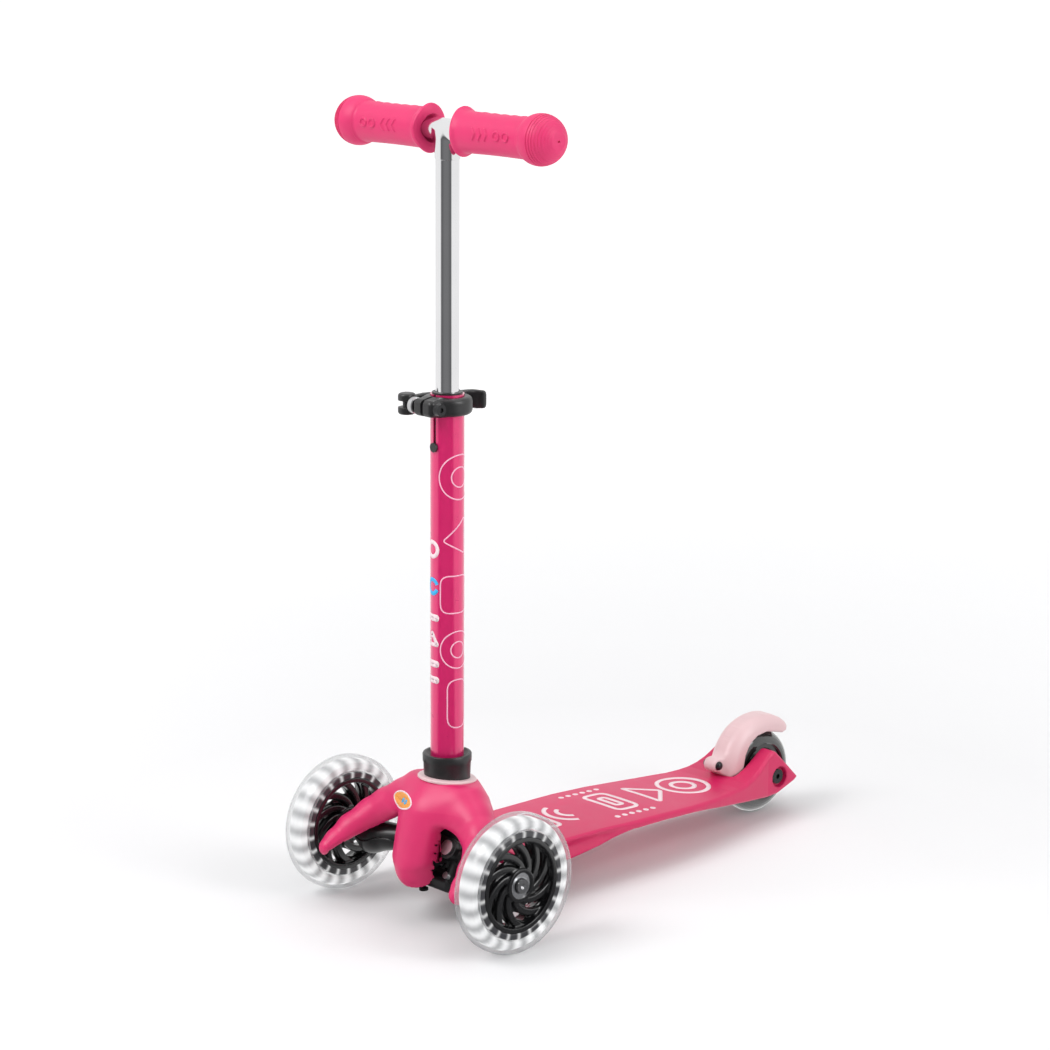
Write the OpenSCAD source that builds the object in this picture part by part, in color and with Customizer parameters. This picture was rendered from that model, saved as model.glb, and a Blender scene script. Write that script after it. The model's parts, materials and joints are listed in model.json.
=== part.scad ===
// Child's three-wheeled kick scooter that steers by leaning.
// Millimetres, +Z up, the front at -Y, the rider's left at +X.
// The origin is on the floor, half way between the front of the front wheels
// and the back of the rear wheel.

/* [Wheels] */
// Diameter of the two front wheels
front_wheel_d = 120; // [100:1:145]
// Width of a front wheel
front_wheel_w = 24; // [20:1:29]
// Diameter of the rear wheel
rear_wheel_d = 80; // [66:1:96]
// Width of the rear wheel
rear_wheel_w = 24; // [20:1:29]
// Distance between the centres of the front wheels
track = 217; // [180:1:261]
// Distance from the front axle to the rear axle
wheelbase = 416; // [346:1:500]
// Outer diameter of a front wheel's plastic core
front_core_d = 82; // [68:1:99]
// Outer diameter of the rear wheel's plastic core
rear_core_d = 54; // [45:1:65]
// Radial thickness of the light carrier between core and tyre
led_ring_t = 5; // [4:0.5:6]
// Number of swirl spokes in a front core
spoke_count = 10; // [8:1:12]

/* [Axles] */
// Diameter of the front and rear axle bolts
axle_d = 8; // [6.5:0.1:9.6]
// Outer diameter of a ball bearing
bearing_d = 22; // [18:0.5:26.5]
// Width of a ball bearing
bearing_w = 7; // [5.5:0.1:8.4]
// Length of the spacer between a wheel's two bearings
spacer_l = 3; // [2:0.1:3.6]
// Thickness of an axle bolt's head
axle_head_h = 2.8; // [2.2:0.1:3.4]

/* [Deck] */
// Greatest width of the deck
deck_w = 109; // [90:1:131]
// Width of the deck's front end, under the head shell
deck_front_w = 100; // [83:1:120]
// Thickness of the deck's standing skin
deck_skin = 5; // [4:0.1:6]
// Thickness of the deck's outer walls and ribs
deck_wall = 5; // [4:0.1:6]
// Clear width of the rear fork
fork_gap = 33; // [27.5:0.5:40]
// Thickness of one ear of the rear fork
ear_t = 16.5; // [13.5:0.5:20]

/* [Column] */
// Outer diameter of the fixed lower tube
lower_tube_d = 28.6; // [23.8:0.1:34.4]
// Wall of both tubes
tube_wall = 1.5; // [1.2:0.1:1.8]
// Outer diameter of the sliding upper tube
upper_tube_d = 20; // [16.6:0.1:24]
// Height of the top end of the lower tube above the floor
lower_tube_top = 453; // [377:1:544]
// Height of the handlebar's axis above the floor, fully raised
handlebar_z = 670; // [558:1:804]
// Travel of the height adjustment
height_travel = 190; // [158:1:228]
// Angle by which the column leans back
rake = 0.5; // [0:0.1:3]
// Distance of the column's foot behind the front axle
column_y = 24.3; // [20.2:0.1:29.2]

/* [Handlebar] */
// Overall length of the handlebar across both grips
handlebar_l = 260; // [216:1:312]
// Outer diameter of the crossbar
crossbar_d = 16; // [13.3:0.1:19.2]
// Diameter of a grip's body
grip_d = 34; // [28:0.5:41]
// Diameter of the ball at a grip's outer end
knob_d = 42; // [35:0.5:50.5]

/* [Clamp] */
// Outer diameter of the clamp ring
clamp_d = 42; // [35:0.5:50.5]
// Height of the clamp ring
clamp_h = 15; // [12.5:0.5:18]
// Diameter of the clamp bolt
clamp_bolt_d = 5; // [4.1:0.1:6]

/* [Head] */
// Wall of the head shell
shell_t = 3; // [2.5:0.1:3.6]
// Height at which the shell's neck ends
neck_z = 119; // [99:1:143]
// Outer diameter of the black collar around the column's foot
collar_d = 42; // [35:0.5:50.5]
// Height of that collar
collar_h = 21; // [17.5:0.5:25.5]

/* [Steering] */
// Distance between the two kingpins
kingpin_gap = 54; // [45:0.5:65]
// Distance of the kingpins behind the front axle
kingpin_y = 14; // [11.5:0.5:17]
// Height of the kingpins' midpoints
kingpin_z = 62; // [51.5:0.5:74.5]
// Angle by which the kingpins lean forward from upright
kingpin_lean = 60; // [50:1:70]
// Diameter of a kingpin
kingpin_d = 8; // [6.6:0.1:9.6]
// Length of an arm's boss along its kingpin
boss_l = 21; // [17.5:0.5:25.5]
// Distance from kingpin to tie rod pin
lever_l = 22; // [18:0.5:26.5]

/* [Brake] */
// Outer radius of the brake's fender about the rear axle
brake_r = 56; // [46.5:0.5:67.5]
// Wall of the fender
brake_t = 2.6; // [2.1:0.1:3.2]
// Gap between the brake pad and the rear wheel at rest
pad_gap = 5; // [4:0.1:6]

/* [Fits] */
// Radial clearance of a running fit
run_gap = 0.05; // [0.02:0.01:0.1]
// Gap between faces of pieces that move past each other
face_gap = 0.3; // [0.2:0.05:0.5]

/* [Hidden] */

$fn = 64;
EPS = 0.01;

// Wheels and axles
front_r = front_wheel_d / 2;
rear_r = rear_wheel_d / 2;
front_core_r = front_core_d / 2;
rear_core_r = rear_core_d / 2;
led_ring_r = front_core_r + led_ring_t;
axle_r = axle_d / 2;
bearing_r = bearing_d / 2;
hub_r = bearing_r + 3.5;
hub_face = bearing_w + spacer_l / 2;
wheel_x = track / 2;
front_y = (front_r - rear_r - wheelbase) / 2;
rear_y = wheelbase;
axle_head_r = axle_r + 3.2;
side_gap = 0.15;

// Column, measured along its own axis from the floor
lower_tube_r = lower_tube_d / 2;
lower_bore_r = lower_tube_r - tube_wall;
upper_tube_r = upper_tube_d / 2;
upper_bore_r = upper_tube_r - tube_wall;
socket_z = 58;
plug_h = 14;
collar_z = neck_z + 3;
crossbar_r = crossbar_d / 2;
slot_l = 44;
slot_w = 3;

// Clamp
clamp_z = lower_tube_top - 17;
clamp_r = clamp_d / 2;
clamp_mid = clamp_z + clamp_h / 2;
clamp_bolt_r = clamp_bolt_d / 2;
bolt_y = -(lower_tube_r + 8);
ear_half = 12;
lever_x = -(ear_half + 12);
lever_head_r = 5.7;
lever_half_h = 5;

// Steering
kp_x = kingpin_gap / 2;
kingpin_r = kingpin_d / 2;
bush_r = kingpin_r + 1.2;
boss_r = kingpin_r + 4.5;
lug_gap = 0.5;
lug_t = 4;
tie_pin_r = 3;
tie_s = -(boss_l / 2 - 6);
tie_t = 6;

// Head
tower_r = lower_tube_r + 3.2;
block_half = kp_x - boss_r - 2;
block_z = 52;
plate_top = 51;
nose_y = -10;
nose_half = block_half + 5.5;
button_z = 84;
button_r = 5;
snap_r = 3.5;
button_travel = 3.5;
snap_flange_r = snap_r + 1.5;
button_y = column_y + tower_r + button_travel;
plug_z = button_z + snap_flange_r + 3 + height_travel;

// Deck
deck_front = 56;
fork_w = fork_gap + 2 * ear_t;
slot_y = rear_y - rear_r - 8;
deck_z0 = 57.5;
deck_z1 = 44.2;
taper_y = deck_front + 0.372 * (rear_y - deck_front);
deck_top = [
    [deck_front, deck_z0], [deck_front + 64, 56.1], [rear_y - 176, 51.2],
    [rear_y - 116, 46.7], [rear_y - 76, deck_z1]
];
ear_top = [[rear_y - 56, 45.5], [rear_y - 36, 50], [rear_y - 22, 59], [rear_y - 12, 67]];
ear_back = [[rear_y + 25, 34], [rear_y - 4, 25]];
deck_bottom = [
    [rear_y - 16, 23.5], [rear_y - 36, 27], [rear_y - 56, 30], [rear_y - 76, 33],
    [rear_y - 116, 39], [rear_y - 216, 45.4], [rear_y - 246, 44], [deck_front + 64, 36.7],
    [deck_front, 36]
];
cover_z = 28;
cover_t = 3;
cover_half = 30;
cover_rim_h = 9;
cover_y0 = -8;
cover_y1 = 48;
cover_posts = [[0, -3], [12, 37], [-12, 37]];
screw_r = 2;
deck_screw_x = 18;
deck_screw_y = [66, 94];

// Brake
brake_axis = [rear_y - 66, 58];
brake_half = rear_wheel_w / 2 + 0.9 + brake_t;
brake_pin_r = 2.5;
pad_r = rear_r + pad_gap;
pad_seat = 0.08;

function lerp(a, b, t) = a + (b - a) * t;
function deck_half(y) =
    y < taper_y
    ? lerp(deck_front_w, deck_w, sin(90 * (y - deck_front) / (taper_y - deck_front))) / 2
    : lerp(deck_w, fork_w, pow(min(1, (y - taper_y) / (rear_y - 16 - taper_y)), 2)) / 2;
function plan_points(inset, y0, y1, n) =
    let (ys = [for (i = [0:n]) lerp(y0, y1, i / n)])
    concat(
        [for (y = ys) [deck_half(y) - inset, y]],
        [for (i = [n:-1:0]) [-(deck_half(ys[i]) - inset), ys[i]]]
    );
// Points at half a width to both sides of a path, as one closed outline
function band(path, half) =
    let (
        n = len(path) - 1,
        dir = [for (i = [0:n]) let (d = path[min(i + 1, n)] - path[max(i - 1, 0)]) d / norm(d)]
    )
    concat(
        [for (i = [0:n]) path[i] + half[i] * [dir[i].y, -dir[i].x]],
        [for (i = [n:-1:0]) path[i] - half[i] * [dir[i].y, -dir[i].x]]
    );

// Frames of reference
module at_front() { translate([0, front_y, 0]) children(); }
module on_column() {
    at_front() translate([0, column_y - 60 * tan(rake), 0]) rotate([-rake, 0, 0]) children();
}
module on_pivots() { at_front() translate([0, kingpin_y, kingpin_z]) rotate([kingpin_lean, 0, 0]) children(); }
module on_front_axle(side) {
    at_front() translate([side * wheel_x, 0, front_r]) rotate([0, side * 90, 0]) children();
}
module on_rear_axle() { at_front() translate([0, rear_y, rear_r]) rotate([0, 90, 0]) children(); }
module across(half) { rotate([90, 0, 90]) translate([0, 0, -half]) linear_extrude(2 * half) children(); }
module tube(r_out, r_in, z0, z1) {
    difference() {
        translate([0, 0, z0]) cylinder(r = r_out, h = z1 - z0);
        translate([0, 0, z0 - 1]) cylinder(r = r_in, h = z1 - z0 + 2);
    }
}
// A coil spring along +Z as one closed sweep
module coil(r, wire, h, turns) {
    per_turn = 14;
    sides = 6;
    n = turns * per_turn;
    pts = [
        for (i = [0:n], j = [0:sides - 1])
        let (a = 360 * i / per_turn, b = 360 * j / sides, q = r + wire * cos(b))
        [q * cos(a), q * sin(a), wire + (h - 2 * wire) * i / n + wire * sin(b)]
    ];
    quads = [
        for (i = [0:n - 1], j = [0:sides - 1])
        let (k = (j + 1) % sides)
        [i * sides + j, (i + 1) * sides + j, (i + 1) * sides + k, i * sides + k]
    ];
    caps = [[for (j = [0:sides - 1]) j], [for (j = [sides - 1:-1:0]) n * sides + j]];
    polyhedron(points = pts, faces = concat(quads, caps));
}

// ---- Deck ----
module deck_envelope() {
    intersection() {
        across(deck_w) polygon(concat(deck_top, ear_top, ear_back, deck_bottom));
        translate([0, 0, -1]) linear_extrude(100) polygon(plan_points(0, deck_front, rear_y + 26, 24));
    }
}
module deck_pocket() {
    skin_line = [for (p = deck_top) p - [0, deck_skin]];
    intersection() {
        across(deck_w) polygon(concat(
            [[deck_front - 1, deck_z0 - deck_skin]], skin_line, [[rear_y - 76, 0], [deck_front - 1, 0]]
        ));
        linear_extrude(100) polygon(plan_points(deck_wall, deck_front - 1, rear_y - 78, 20));
    }
}
module deck_ribs() {
    rib_y0 = deck_front + 60;
    intersection() {
        deck_envelope();
        union() {
            for (x = [-24, 0, 24]) {
                translate([x - deck_wall / 2, rib_y0, 0]) cube([deck_wall, rear_y - 76 - rib_y0, 100]);
            }
            for (i = [0:6]) {
                translate([-deck_w, rib_y0 + i * (rear_y - 96 - rib_y0) / 6, 0]) cube([2 * deck_w, deck_wall, 100]);
            }
        }
    }
}
module brake_lugs() {
    for (side = [-1, 1]) {
        lug_x = side * (brake_half - brake_t - face_gap - 4);
        translate([lug_x - 3, brake_axis.x - 6, deck_z1 - 8]) cube([6, 12, brake_axis.y - deck_z1 + 8]);
        translate([lug_x - 3, brake_axis.x, brake_axis.y]) rotate([0, 90, 0]) cylinder(r = 6, h = 6);
    }
}
module deck() {
    color("deeppink") at_front() difference() {
        union() {
            difference() {
                deck_envelope();
                deck_pocket();
                translate([-fork_gap / 2, slot_y, 0]) cube([fork_gap, 200, 100]);
                translate([-fork_gap / 2, rear_y - 78, deck_z1]) cube([fork_gap, 200, 100]);
            }
            deck_ribs();
            brake_lugs();
        }
        translate([-fork_gap / 2, slot_y, 0]) cube([fork_gap, 200, 100]);
        translate([0, rear_y, rear_r]) rotate([0, 90, 0]) {
            translate([0, 0, -60]) cylinder(r = axle_r + run_gap, h = 120);
            for (side = [0, 1]) {
                mirror([0, 0, side]) translate([0, 0, fork_w / 2 - 7]) cylinder(r = 10, h = 20);
            }
        }
        translate([-30, brake_axis.x, brake_axis.y]) rotate([0, 90, 0]) cylinder(r = brake_pin_r + run_gap, h = 60);
        for (x = [-deck_screw_x, deck_screw_x], y = deck_screw_y) {
            translate([x, y, plate_top - 1]) cylinder(r = screw_r + run_gap, h = 4);
        }
    }
}
module deck_screws() {
    color("dimgray") at_front() for (x = [-deck_screw_x, deck_screw_x], y = deck_screw_y) {
        translate([x, y, plate_top - 6]) cylinder(r = screw_r, h = 8.5);
        translate([x, y, plate_top - 9]) cylinder(r = 4, h = 3);
    }
}

// ---- Head ----
// Radius of the dome at a height, taken in by an amount
dome = [[25, neck_z], [30, 111], [35.5, 101.6], [39, 91], [43, 75], [46, deck_z0 + 0.4]];
module dome_solid(inset, floor_z) {
    for (i = [0:len(dome) - 2]) {
        hull() {
            translate([0, column_y, dome[i][1] - inset]) cylinder(r = dome[i][0] - inset, h = EPS, $fn = 36);
            translate([0, column_y, dome[i + 1][1] - inset]) {
                cylinder(r = dome[i + 1][0] - inset, h = EPS, $fn = 36);
            }
        }
    }
    if (inset > 0) {
        translate([0, column_y, floor_z]) cylinder(r = dome[5][0] - inset, h = dome[5][1] - floor_z, $fn = 36);
    }
}
// Nose beads: centre height and half widths
module nose_solid(inset, back) {
    beads = [[0, 12, 96], [-6, nose_y, 74], [-6, nose_y, 50]];
    for (i = [0:1]) {
        hull() for (j = [i, i + 1]) {
            translate([0, beads[j].y, beads[j].z]) {
                scale([nose_half - inset, 18 - inset, 22 - inset]) sphere(1, $fn = 24);
                if (back > 0) {
                    translate([0, back, 0]) scale([nose_half - inset, 18 - inset, 22 - inset]) sphere(1, $fn = 24);
                }
            }
        }
    }
}
// Wing beads along the arm cover: centre and radius
wing_line = [
    [36, 18, 98], [56, 12, 86], [71, 0, front_r + 18],
    [wheel_x - 27, -20, front_r + 6], [wheel_x - 23.5, -35, front_r - 3]
];
wing_r = [13, 12.5, 11.5, 9, 6.5];
module wing_solid(inset, open) {
    for (i = [0:len(wing_line) - 2]) {
        hull() for (j = [i, i + 1]) {
            translate(wing_line[j]) sphere(wing_r[j] - inset, $fn = 18);
            if (open) {
                translate(wing_line[j] + [0, 4, -36]) sphere(wing_r[j] - inset, $fn = 18);
                translate(wing_line[j] + [0, 34, -16]) sphere(wing_r[j] - inset, $fn = 18);
            }
        }
    }
}
// Room that the shell leaves for the arms and their yokes
module arm_room() {
    for (side = [-1, 1]) {
        translate([side > 0 ? nose_half : -nose_half - 26, 10, 62]) rotate([0, 90, 0]) {
            scale([1.02, 1, 1]) cylinder(r = 36, h = 26, $fn = 36);
        }
    }
    translate([-50, nose_y + 0.5, 0]) cube([100, deck_front - nose_y, 78]);
    for (side = [-1, 1]) {
        hull() for (rise = [0, 13]) {
            translate([side * (wheel_x - 36), 5, front_r - 9 + rise]) scale([17, 16.5, 19]) sphere(1, $fn = 24);
        }
    }
}
module head_shell() {
    color("deeppink") difference() {
        at_front() difference() {
            union() {
                dome_solid(0, 0);
                nose_solid(0, 0);
                wing_solid(0, false);
                mirror([1, 0, 0]) wing_solid(0, false);
            }
            difference() {
                union() {
                    dome_solid(shell_t, 20);
                    nose_solid(shell_t, 30);
                }
                translate([-50, column_y - 50, neck_z - shell_t]) cube([100, 100, 20]);
            }
            wing_solid(shell_t - 0.5, true);
            mirror([1, 0, 0]) wing_solid(shell_t - 0.5, true);
            arm_room();
            translate([-60, -60, neck_z]) cube([120, 140, 40]);
            translate([0, column_y, button_z]) rotate([-90, 0, 0]) cylinder(r = button_r + face_gap, h = 60);
        }
        on_column() translate([0, 0, 60]) cylinder(r = tower_r + face_gap, h = 80);
    }
}
module kingpin_lugs() {
    for (side = [-1, 1], end = [-1, 1]) {
        z0 = end > 0 ? boss_l / 2 + lug_gap : -boss_l / 2 - lug_gap - lug_t;
        translate([side * kp_x, 0, z0]) cylinder(r = boss_r + 0.5, h = lug_t);
        translate([side > 0 ? 0 : -kp_x, -boss_r - 0.5, z0]) cube([kp_x, 2 * boss_r + 1, lug_t]);
    }
}
module chassis() {
    color("#28282a") difference() {
        union() {
            at_front() {
                translate([-block_half, -8, block_z]) cube([2 * block_half, 62, 8]);
                translate([-24, deck_front - 12, plate_top - 6]) cube([48, 62, 6]);
                translate([-block_half, 34, plate_top - 6]) cube([2 * block_half, 20, 8]);
                for (p = cover_posts) translate([p.x, p.y, cover_z + cover_t]) cylinder(r = 4, h = 22);
                translate([0, column_y + 10, button_z]) rotate([-90, 0, 0]) cylinder(r = button_r + 3, h = 22);
            }
            on_column() translate([0, 0, block_z]) cylinder(r = tower_r, h = neck_z - block_z);
            on_pivots() {
                kingpin_lugs();
                for (side = [-1, 1]) {
                    translate([side > 0 ? block_half - 3 : -block_half, -15.5, tie_s - 5]) cube([3, 16, 9]);
                }
            }
        }
        on_column() translate([0, 0, socket_z]) cylinder(r = lower_tube_r + run_gap, h = 100);
        at_front() {
            for (x = [-deck_screw_x, deck_screw_x], y = deck_screw_y) {
                translate([x, y, plate_top - 10]) cylinder(r = screw_r + run_gap, h = 20);
            }
            for (p = cover_posts) translate([p.x, p.y, cover_z]) cylinder(r = screw_r + run_gap, h = 18);
            translate([0, column_y, button_z]) rotate([-90, 0, 0]) cylinder(r = snap_r + run_gap, h = 60);
            translate([0, column_y + tower_r, button_z]) rotate([-90, 0, 0]) cylinder(r = button_r + run_gap, h = 60);
        }
        on_pivots() for (side = [-1, 1]) {
            translate([side * kp_x, 0, -30]) cylinder(r = kingpin_r, h = 60);
            translate([side * kp_x, 0, -boss_l / 2 - lug_gap]) {
                cylinder(r = boss_r + lug_gap, h = boss_l + 2 * lug_gap);
            }
        }
    }
}
module bottom_cover() {
    color("#28282a") at_front() difference() {
        union() {
            translate([-cover_half, cover_y0, cover_z]) cube([2 * cover_half, cover_y1 - cover_y0, cover_t]);
            for (x = [-cover_half, cover_half - cover_t]) {
                translate([x, cover_y1 / 2, cover_z]) cube([cover_t, cover_y1 / 2, cover_rim_h]);
            }
            translate([-cover_half, cover_y1 - cover_t, cover_z]) cube([2 * cover_half, cover_t, cover_rim_h]);
        }
        for (p = cover_posts) translate([p.x, p.y, 0]) cylinder(r = screw_r + run_gap, h = 60);
    }
}
module cover_screws() {
    color("dimgray") at_front() for (p = cover_posts) {
        translate([p.x, p.y, cover_z]) cylinder(r = screw_r, h = 15);
        translate([p.x, p.y, cover_z - 2]) cylinder(r = 4, h = 2);
    }
}
module collar() {
    color("#222222") on_column() difference() {
        tube(collar_d / 2, lower_tube_r + 0.1, collar_z, collar_z + collar_h);
        translate([0, 0, collar_z + collar_h - 4]) {
            cylinder(r1 = lower_tube_r + 0.1, r2 = lower_tube_r + 2.6, h = 4 + EPS);
        }
    }
}
module gasket_ring() {
    color("#f0cdd4") on_column() tube(dome[0][0], lower_tube_r + 0.1, neck_z + 0.2, collar_z);
}

// ---- Column ----
module lower_tube() {
    color("mediumvioletred") on_column() difference() {
        tube(lower_tube_r, lower_bore_r, socket_z, lower_tube_top);
        translate([-slot_w / 2, -lower_tube_r - 1, lower_tube_top - slot_l]) cube([slot_w, lower_tube_r, slot_l + 1]);
        translate([0, 0, lower_tube_top - slot_l]) rotate([90, 0, 0]) cylinder(r = 3, h = lower_tube_r + 1);
        translate([0, 0, button_z]) rotate([-90, 0, 0]) cylinder(r = snap_r + face_gap, h = lower_tube_r + 1);
    }
}
module slot_peg() {
    color("#222222") on_column() translate([0, 0, lower_tube_top - slot_l]) rotate([90, 0, 0]) {
        translate([0, 0, lower_tube_r + 0.1]) cylinder(r = 4, h = 1.6);
        translate([0, 0, lower_bore_r]) cylinder(r = 2.9, h = 2);
    }
}
module tube_bushing() {
    color("#333333") on_column() difference() {
        translate([0, 0, lower_tube_top - 40]) cylinder(r = lower_bore_r - run_gap, h = 41.5);
        translate([0, 0, lower_tube_top - 45]) cylinder(r = upper_tube_r + run_gap, h = 60);
    }
}
module upper_tube() {
    color("silver") on_column() difference() {
        tube(upper_tube_r, upper_bore_r, plug_z + plug_h, handlebar_z);
        translate([-50, 0, handlebar_z]) rotate([0, 90, 0]) cylinder(r = crossbar_r, h = 100);
    }
}
module tube_plug() {
    color("#333333") on_column() {
        translate([0, 0, plug_z]) cylinder(r = lower_bore_r - 0.2, h = plug_h);
        translate([0, 0, plug_z + plug_h]) cylinder(r = upper_bore_r, h = 12);
    }
}
module tee_sleeve() {
    color("silver") on_column() difference() {
        tube(upper_tube_r + 0.9, upper_tube_r, handlebar_z - 15, handlebar_z);
        translate([-50, 0, handlebar_z]) rotate([0, 90, 0]) cylinder(r = crossbar_r, h = 100);
    }
}
module crossbar() {
    color("silver") on_column() translate([0, 0, handlebar_z]) rotate([0, 90, 0]) {
        tube(crossbar_r, crossbar_r - tube_wall, -handlebar_l / 2 + 10, handlebar_l / 2 - 10);
    }
}
// A grip is one round profile along the crossbar: lobed flange, body and ball
module grip(side) {
    on_column() translate([0, 0, handlebar_z]) rotate([0, side * 90, 0]) {
        end = handlebar_l / 2;
        ball = knob_d / 2;
        ball_x = end - ball + 3;
        body = grip_d / 2;
        join = asin((body - 1.5) / ball);
        rotate_extrude($fn = 64) polygon(concat(
            [[crossbar_r + run_gap, 17], [body - 2, 17], [body + 1, 20], [body, 25], [body - 1, 50], [body - 1.5, 75]],
            [for (i = [0:8]) let (a = lerp(180 - join, 31, i / 8)) [ball * sin(a), ball_x + ball * cos(a)]],
            [[0, end], [0, end - 9], [crossbar_r + run_gap, end - 9]]
        ));
    }
}
module grip_left() { color("deeppink") grip(1); }
module grip_right() { color("deeppink") grip(-1); }

// ---- Clamp ----
module clamp_ring() {
    color("#222222") on_column() difference() {
        union() {
            translate([0, 0, clamp_z]) cylinder(r = clamp_r, h = clamp_h);
            translate([-ear_half, bolt_y - 6, clamp_z + 0.5]) cube([2 * ear_half, 6 - bolt_y, clamp_h - 1]);
        }
        translate([0, 0, clamp_z - 1]) cylinder(r = lower_tube_r + run_gap, h = clamp_h + 2);
        translate([-slot_w / 2, -60, clamp_z - 1]) cube([slot_w, 60, clamp_h + 2]);
        translate([-50, bolt_y, clamp_mid]) rotate([0, 90, 0]) cylinder(r = clamp_bolt_r + run_gap, h = 100);
    }
}
module clamp_bolt() {
    color("dimgray") on_column() difference() {
        union() {
            translate([lever_x, bolt_y, clamp_mid]) rotate([0, 90, 0]) cylinder(r = clamp_bolt_r, h = ear_half - lever_x + 4);
            translate([lever_x, bolt_y, clamp_mid - 2.2]) cylinder(r = 4.4, h = 4.4);
        }
        translate([lever_x, bolt_y, clamp_mid - 10]) cylinder(r = 2 + run_gap, h = 20);
    }
}
module clamp_nut() {
    color("#303030") on_column() translate([ear_half + 0.1, bolt_y, clamp_mid]) rotate([0, 90, 0]) difference() {
        cylinder(r = 5, h = 5.5);
        translate([0, 0, -1]) cylinder(r = clamp_bolt_r, h = 5);
        translate([0, 0, 4.1]) cylinder(r = 2.3, h = 3, $fn = 6);
    }
}
module cam_washer() {
    color("#3a3a3a") on_column() translate([0, bolt_y, clamp_mid]) rotate([0, -90, 0]) {
        tube(5, clamp_bolt_r + run_gap, ear_half + 0.1, ear_half + 6);
    }
}
// The lever wraps round the ring's right side to the back
module clamp_lever() {
    reach = clamp_r + 5;
    path = [
        [lever_x - 1, bolt_y + 4], [-reach - 3, -12], [-reach - 3.5, 0], [-reach - 1, 12],
        [-reach + 7, 22], [-reach + 17, 30], [-4, 35], [3, 38]
    ];
    color("#222222") on_column() difference() {
        union() {
            translate([lever_x, bolt_y, clamp_mid - 7]) cylinder(r = lever_head_r, h = 14);
            translate([0, 0, clamp_mid - lever_half_h]) linear_extrude(2 * lever_half_h) {
                polygon(band(path, [3.5, 3.2, 3, 3, 3, 3.2, 3.6, 4]));
            }
        }
        translate([lever_x, bolt_y, clamp_mid - 10]) cylinder(r = 2 + run_gap, h = 20);
        translate([lever_x - 12, bolt_y - 8, clamp_mid - 2.6]) cube([30, 13, 5.2]);
        translate([0, 0, clamp_z - 10]) cylinder(r = clamp_r + face_gap, h = clamp_h + 20);
    }
}
module lever_pin() {
    color("silver") on_column() translate([lever_x, bolt_y, clamp_mid - 7.4]) cylinder(r = 2, h = 14.8);
}

// ---- Steering ----
// A steering arm: boss on the kingpin, beam out to the stub axle, lever to the tie rod
module arm_beam() {
    beam_x = kp_x + boss_r + 4;
    hull() {
        on_pivots() translate([beam_x, 0, -boss_l / 2 + 2]) cylinder(r = boss_r - 2, h = boss_l - 4, $fn = 24);
        at_front() translate([wheel_x - 36, 5, front_r - 9]) scale([14, 13.5, 16]) sphere(1, $fn = 32);
        on_front_axle(1) translate([0, 0, -20]) cylinder(r = 10, h = 4.5, $fn = 32);
    }
}
module arm() {
    difference() {
        union() {
            arm_beam();
            on_pivots() {
                translate([kp_x, 0, -boss_l / 2]) cylinder(r = boss_r, h = boss_l);
                translate([kp_x, 1 - boss_r, -boss_l / 2 + 3]) cube([boss_r + 8, 2 * boss_r - 2, boss_l - 6]);
                translate([0, 0, tie_s + tie_t / 2 + 0.3]) linear_extrude(8) {
                    translate([kp_x, -lever_l]) circle(r = 6);
                    translate([kp_x - 6, -lever_l]) square([12, lever_l]);
                }
            }
            on_front_axle(1) translate([0, 0, -20]) cylinder(r = axle_r + 2, h = 20 - hub_face - side_gap);
        }
        on_front_axle(1) translate([0, 0, -42]) cylinder(r = axle_r, h = 60);
        on_pivots() {
            translate([kp_x, 0, -30]) cylinder(r = bush_r, h = 60);
            translate([kp_x, -lever_l, -30]) cylinder(r = tie_pin_r, h = 60);
        }
    }
}
module arm_left() { color("#2b2b2d") arm(); }
module arm_right() { color("#2b2b2d") mirror([1, 0, 0]) arm(); }
module kingpin(side) {
    l = boss_l / 2 + lug_gap + lug_t;
    on_pivots() translate([side * kp_x, 0, 0]) {
        translate([0, 0, -l]) cylinder(r = kingpin_r, h = 2 * l);
        translate([0, 0, l]) cylinder(r = kingpin_r + 2.5, h = 2.5);
    }
}
module kingpin_left() { color("silver") kingpin(1); }
module kingpin_right() { color("silver") kingpin(-1); }
module kingpin_bushes(side) {
    on_pivots() translate([side * kp_x, 0, 0]) for (end = [-1, 1]) {
        z0 = end > 0 ? boss_l / 2 - 8 : -boss_l / 2;
        tube(bush_r, kingpin_r + run_gap, z0, z0 + 8);
    }
}
module kingpin_bushes_left() { color("#c9b060") kingpin_bushes(1); }
module kingpin_bushes_right() { color("#c9b060") kingpin_bushes(-1); }
module tie_rod() {
    color("#303032") on_pivots() difference() {
        union() {
            translate([-kp_x, -lever_l - 4.5, tie_s - tie_t / 2]) cube([kingpin_gap, 9, tie_t]);
            for (side = [-1, 1]) {
                translate([side * kp_x, -lever_l, tie_s - tie_t / 2]) cylinder(r = 6, h = tie_t);
            }
            translate([-3, -lever_l, tie_s - tie_t / 2]) cube([6, 10.8, tie_t]);
        }
        translate([kp_x, -lever_l, -30]) cylinder(r = tie_pin_r + run_gap, h = 60);
        translate([-kp_x, -lever_l, -30]) cylinder(r = tie_pin_r + face_gap, h = 60);
    }
}
module tie_pin(side) {
    on_pivots() translate([side * kp_x, -lever_l, tie_s - tie_t / 2 - 1.5]) cylinder(r = tie_pin_r, h = tie_t + 9.5);
}
module tie_pin_left() { color("silver") tie_pin(1); }
module tie_pin_right() { color("silver") tie_pin(-1); }
module centering_springs() {
    gap = block_half - 3 - 3 - 0.4;
    color("gainsboro") on_pivots() for (side = [-1, 1]) {
        translate([side * 3.2, 8.8 - lever_l, tie_s]) rotate([0, side * 90, 0]) coil(2.2, 0.45, gap, 4);
    }
}

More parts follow.
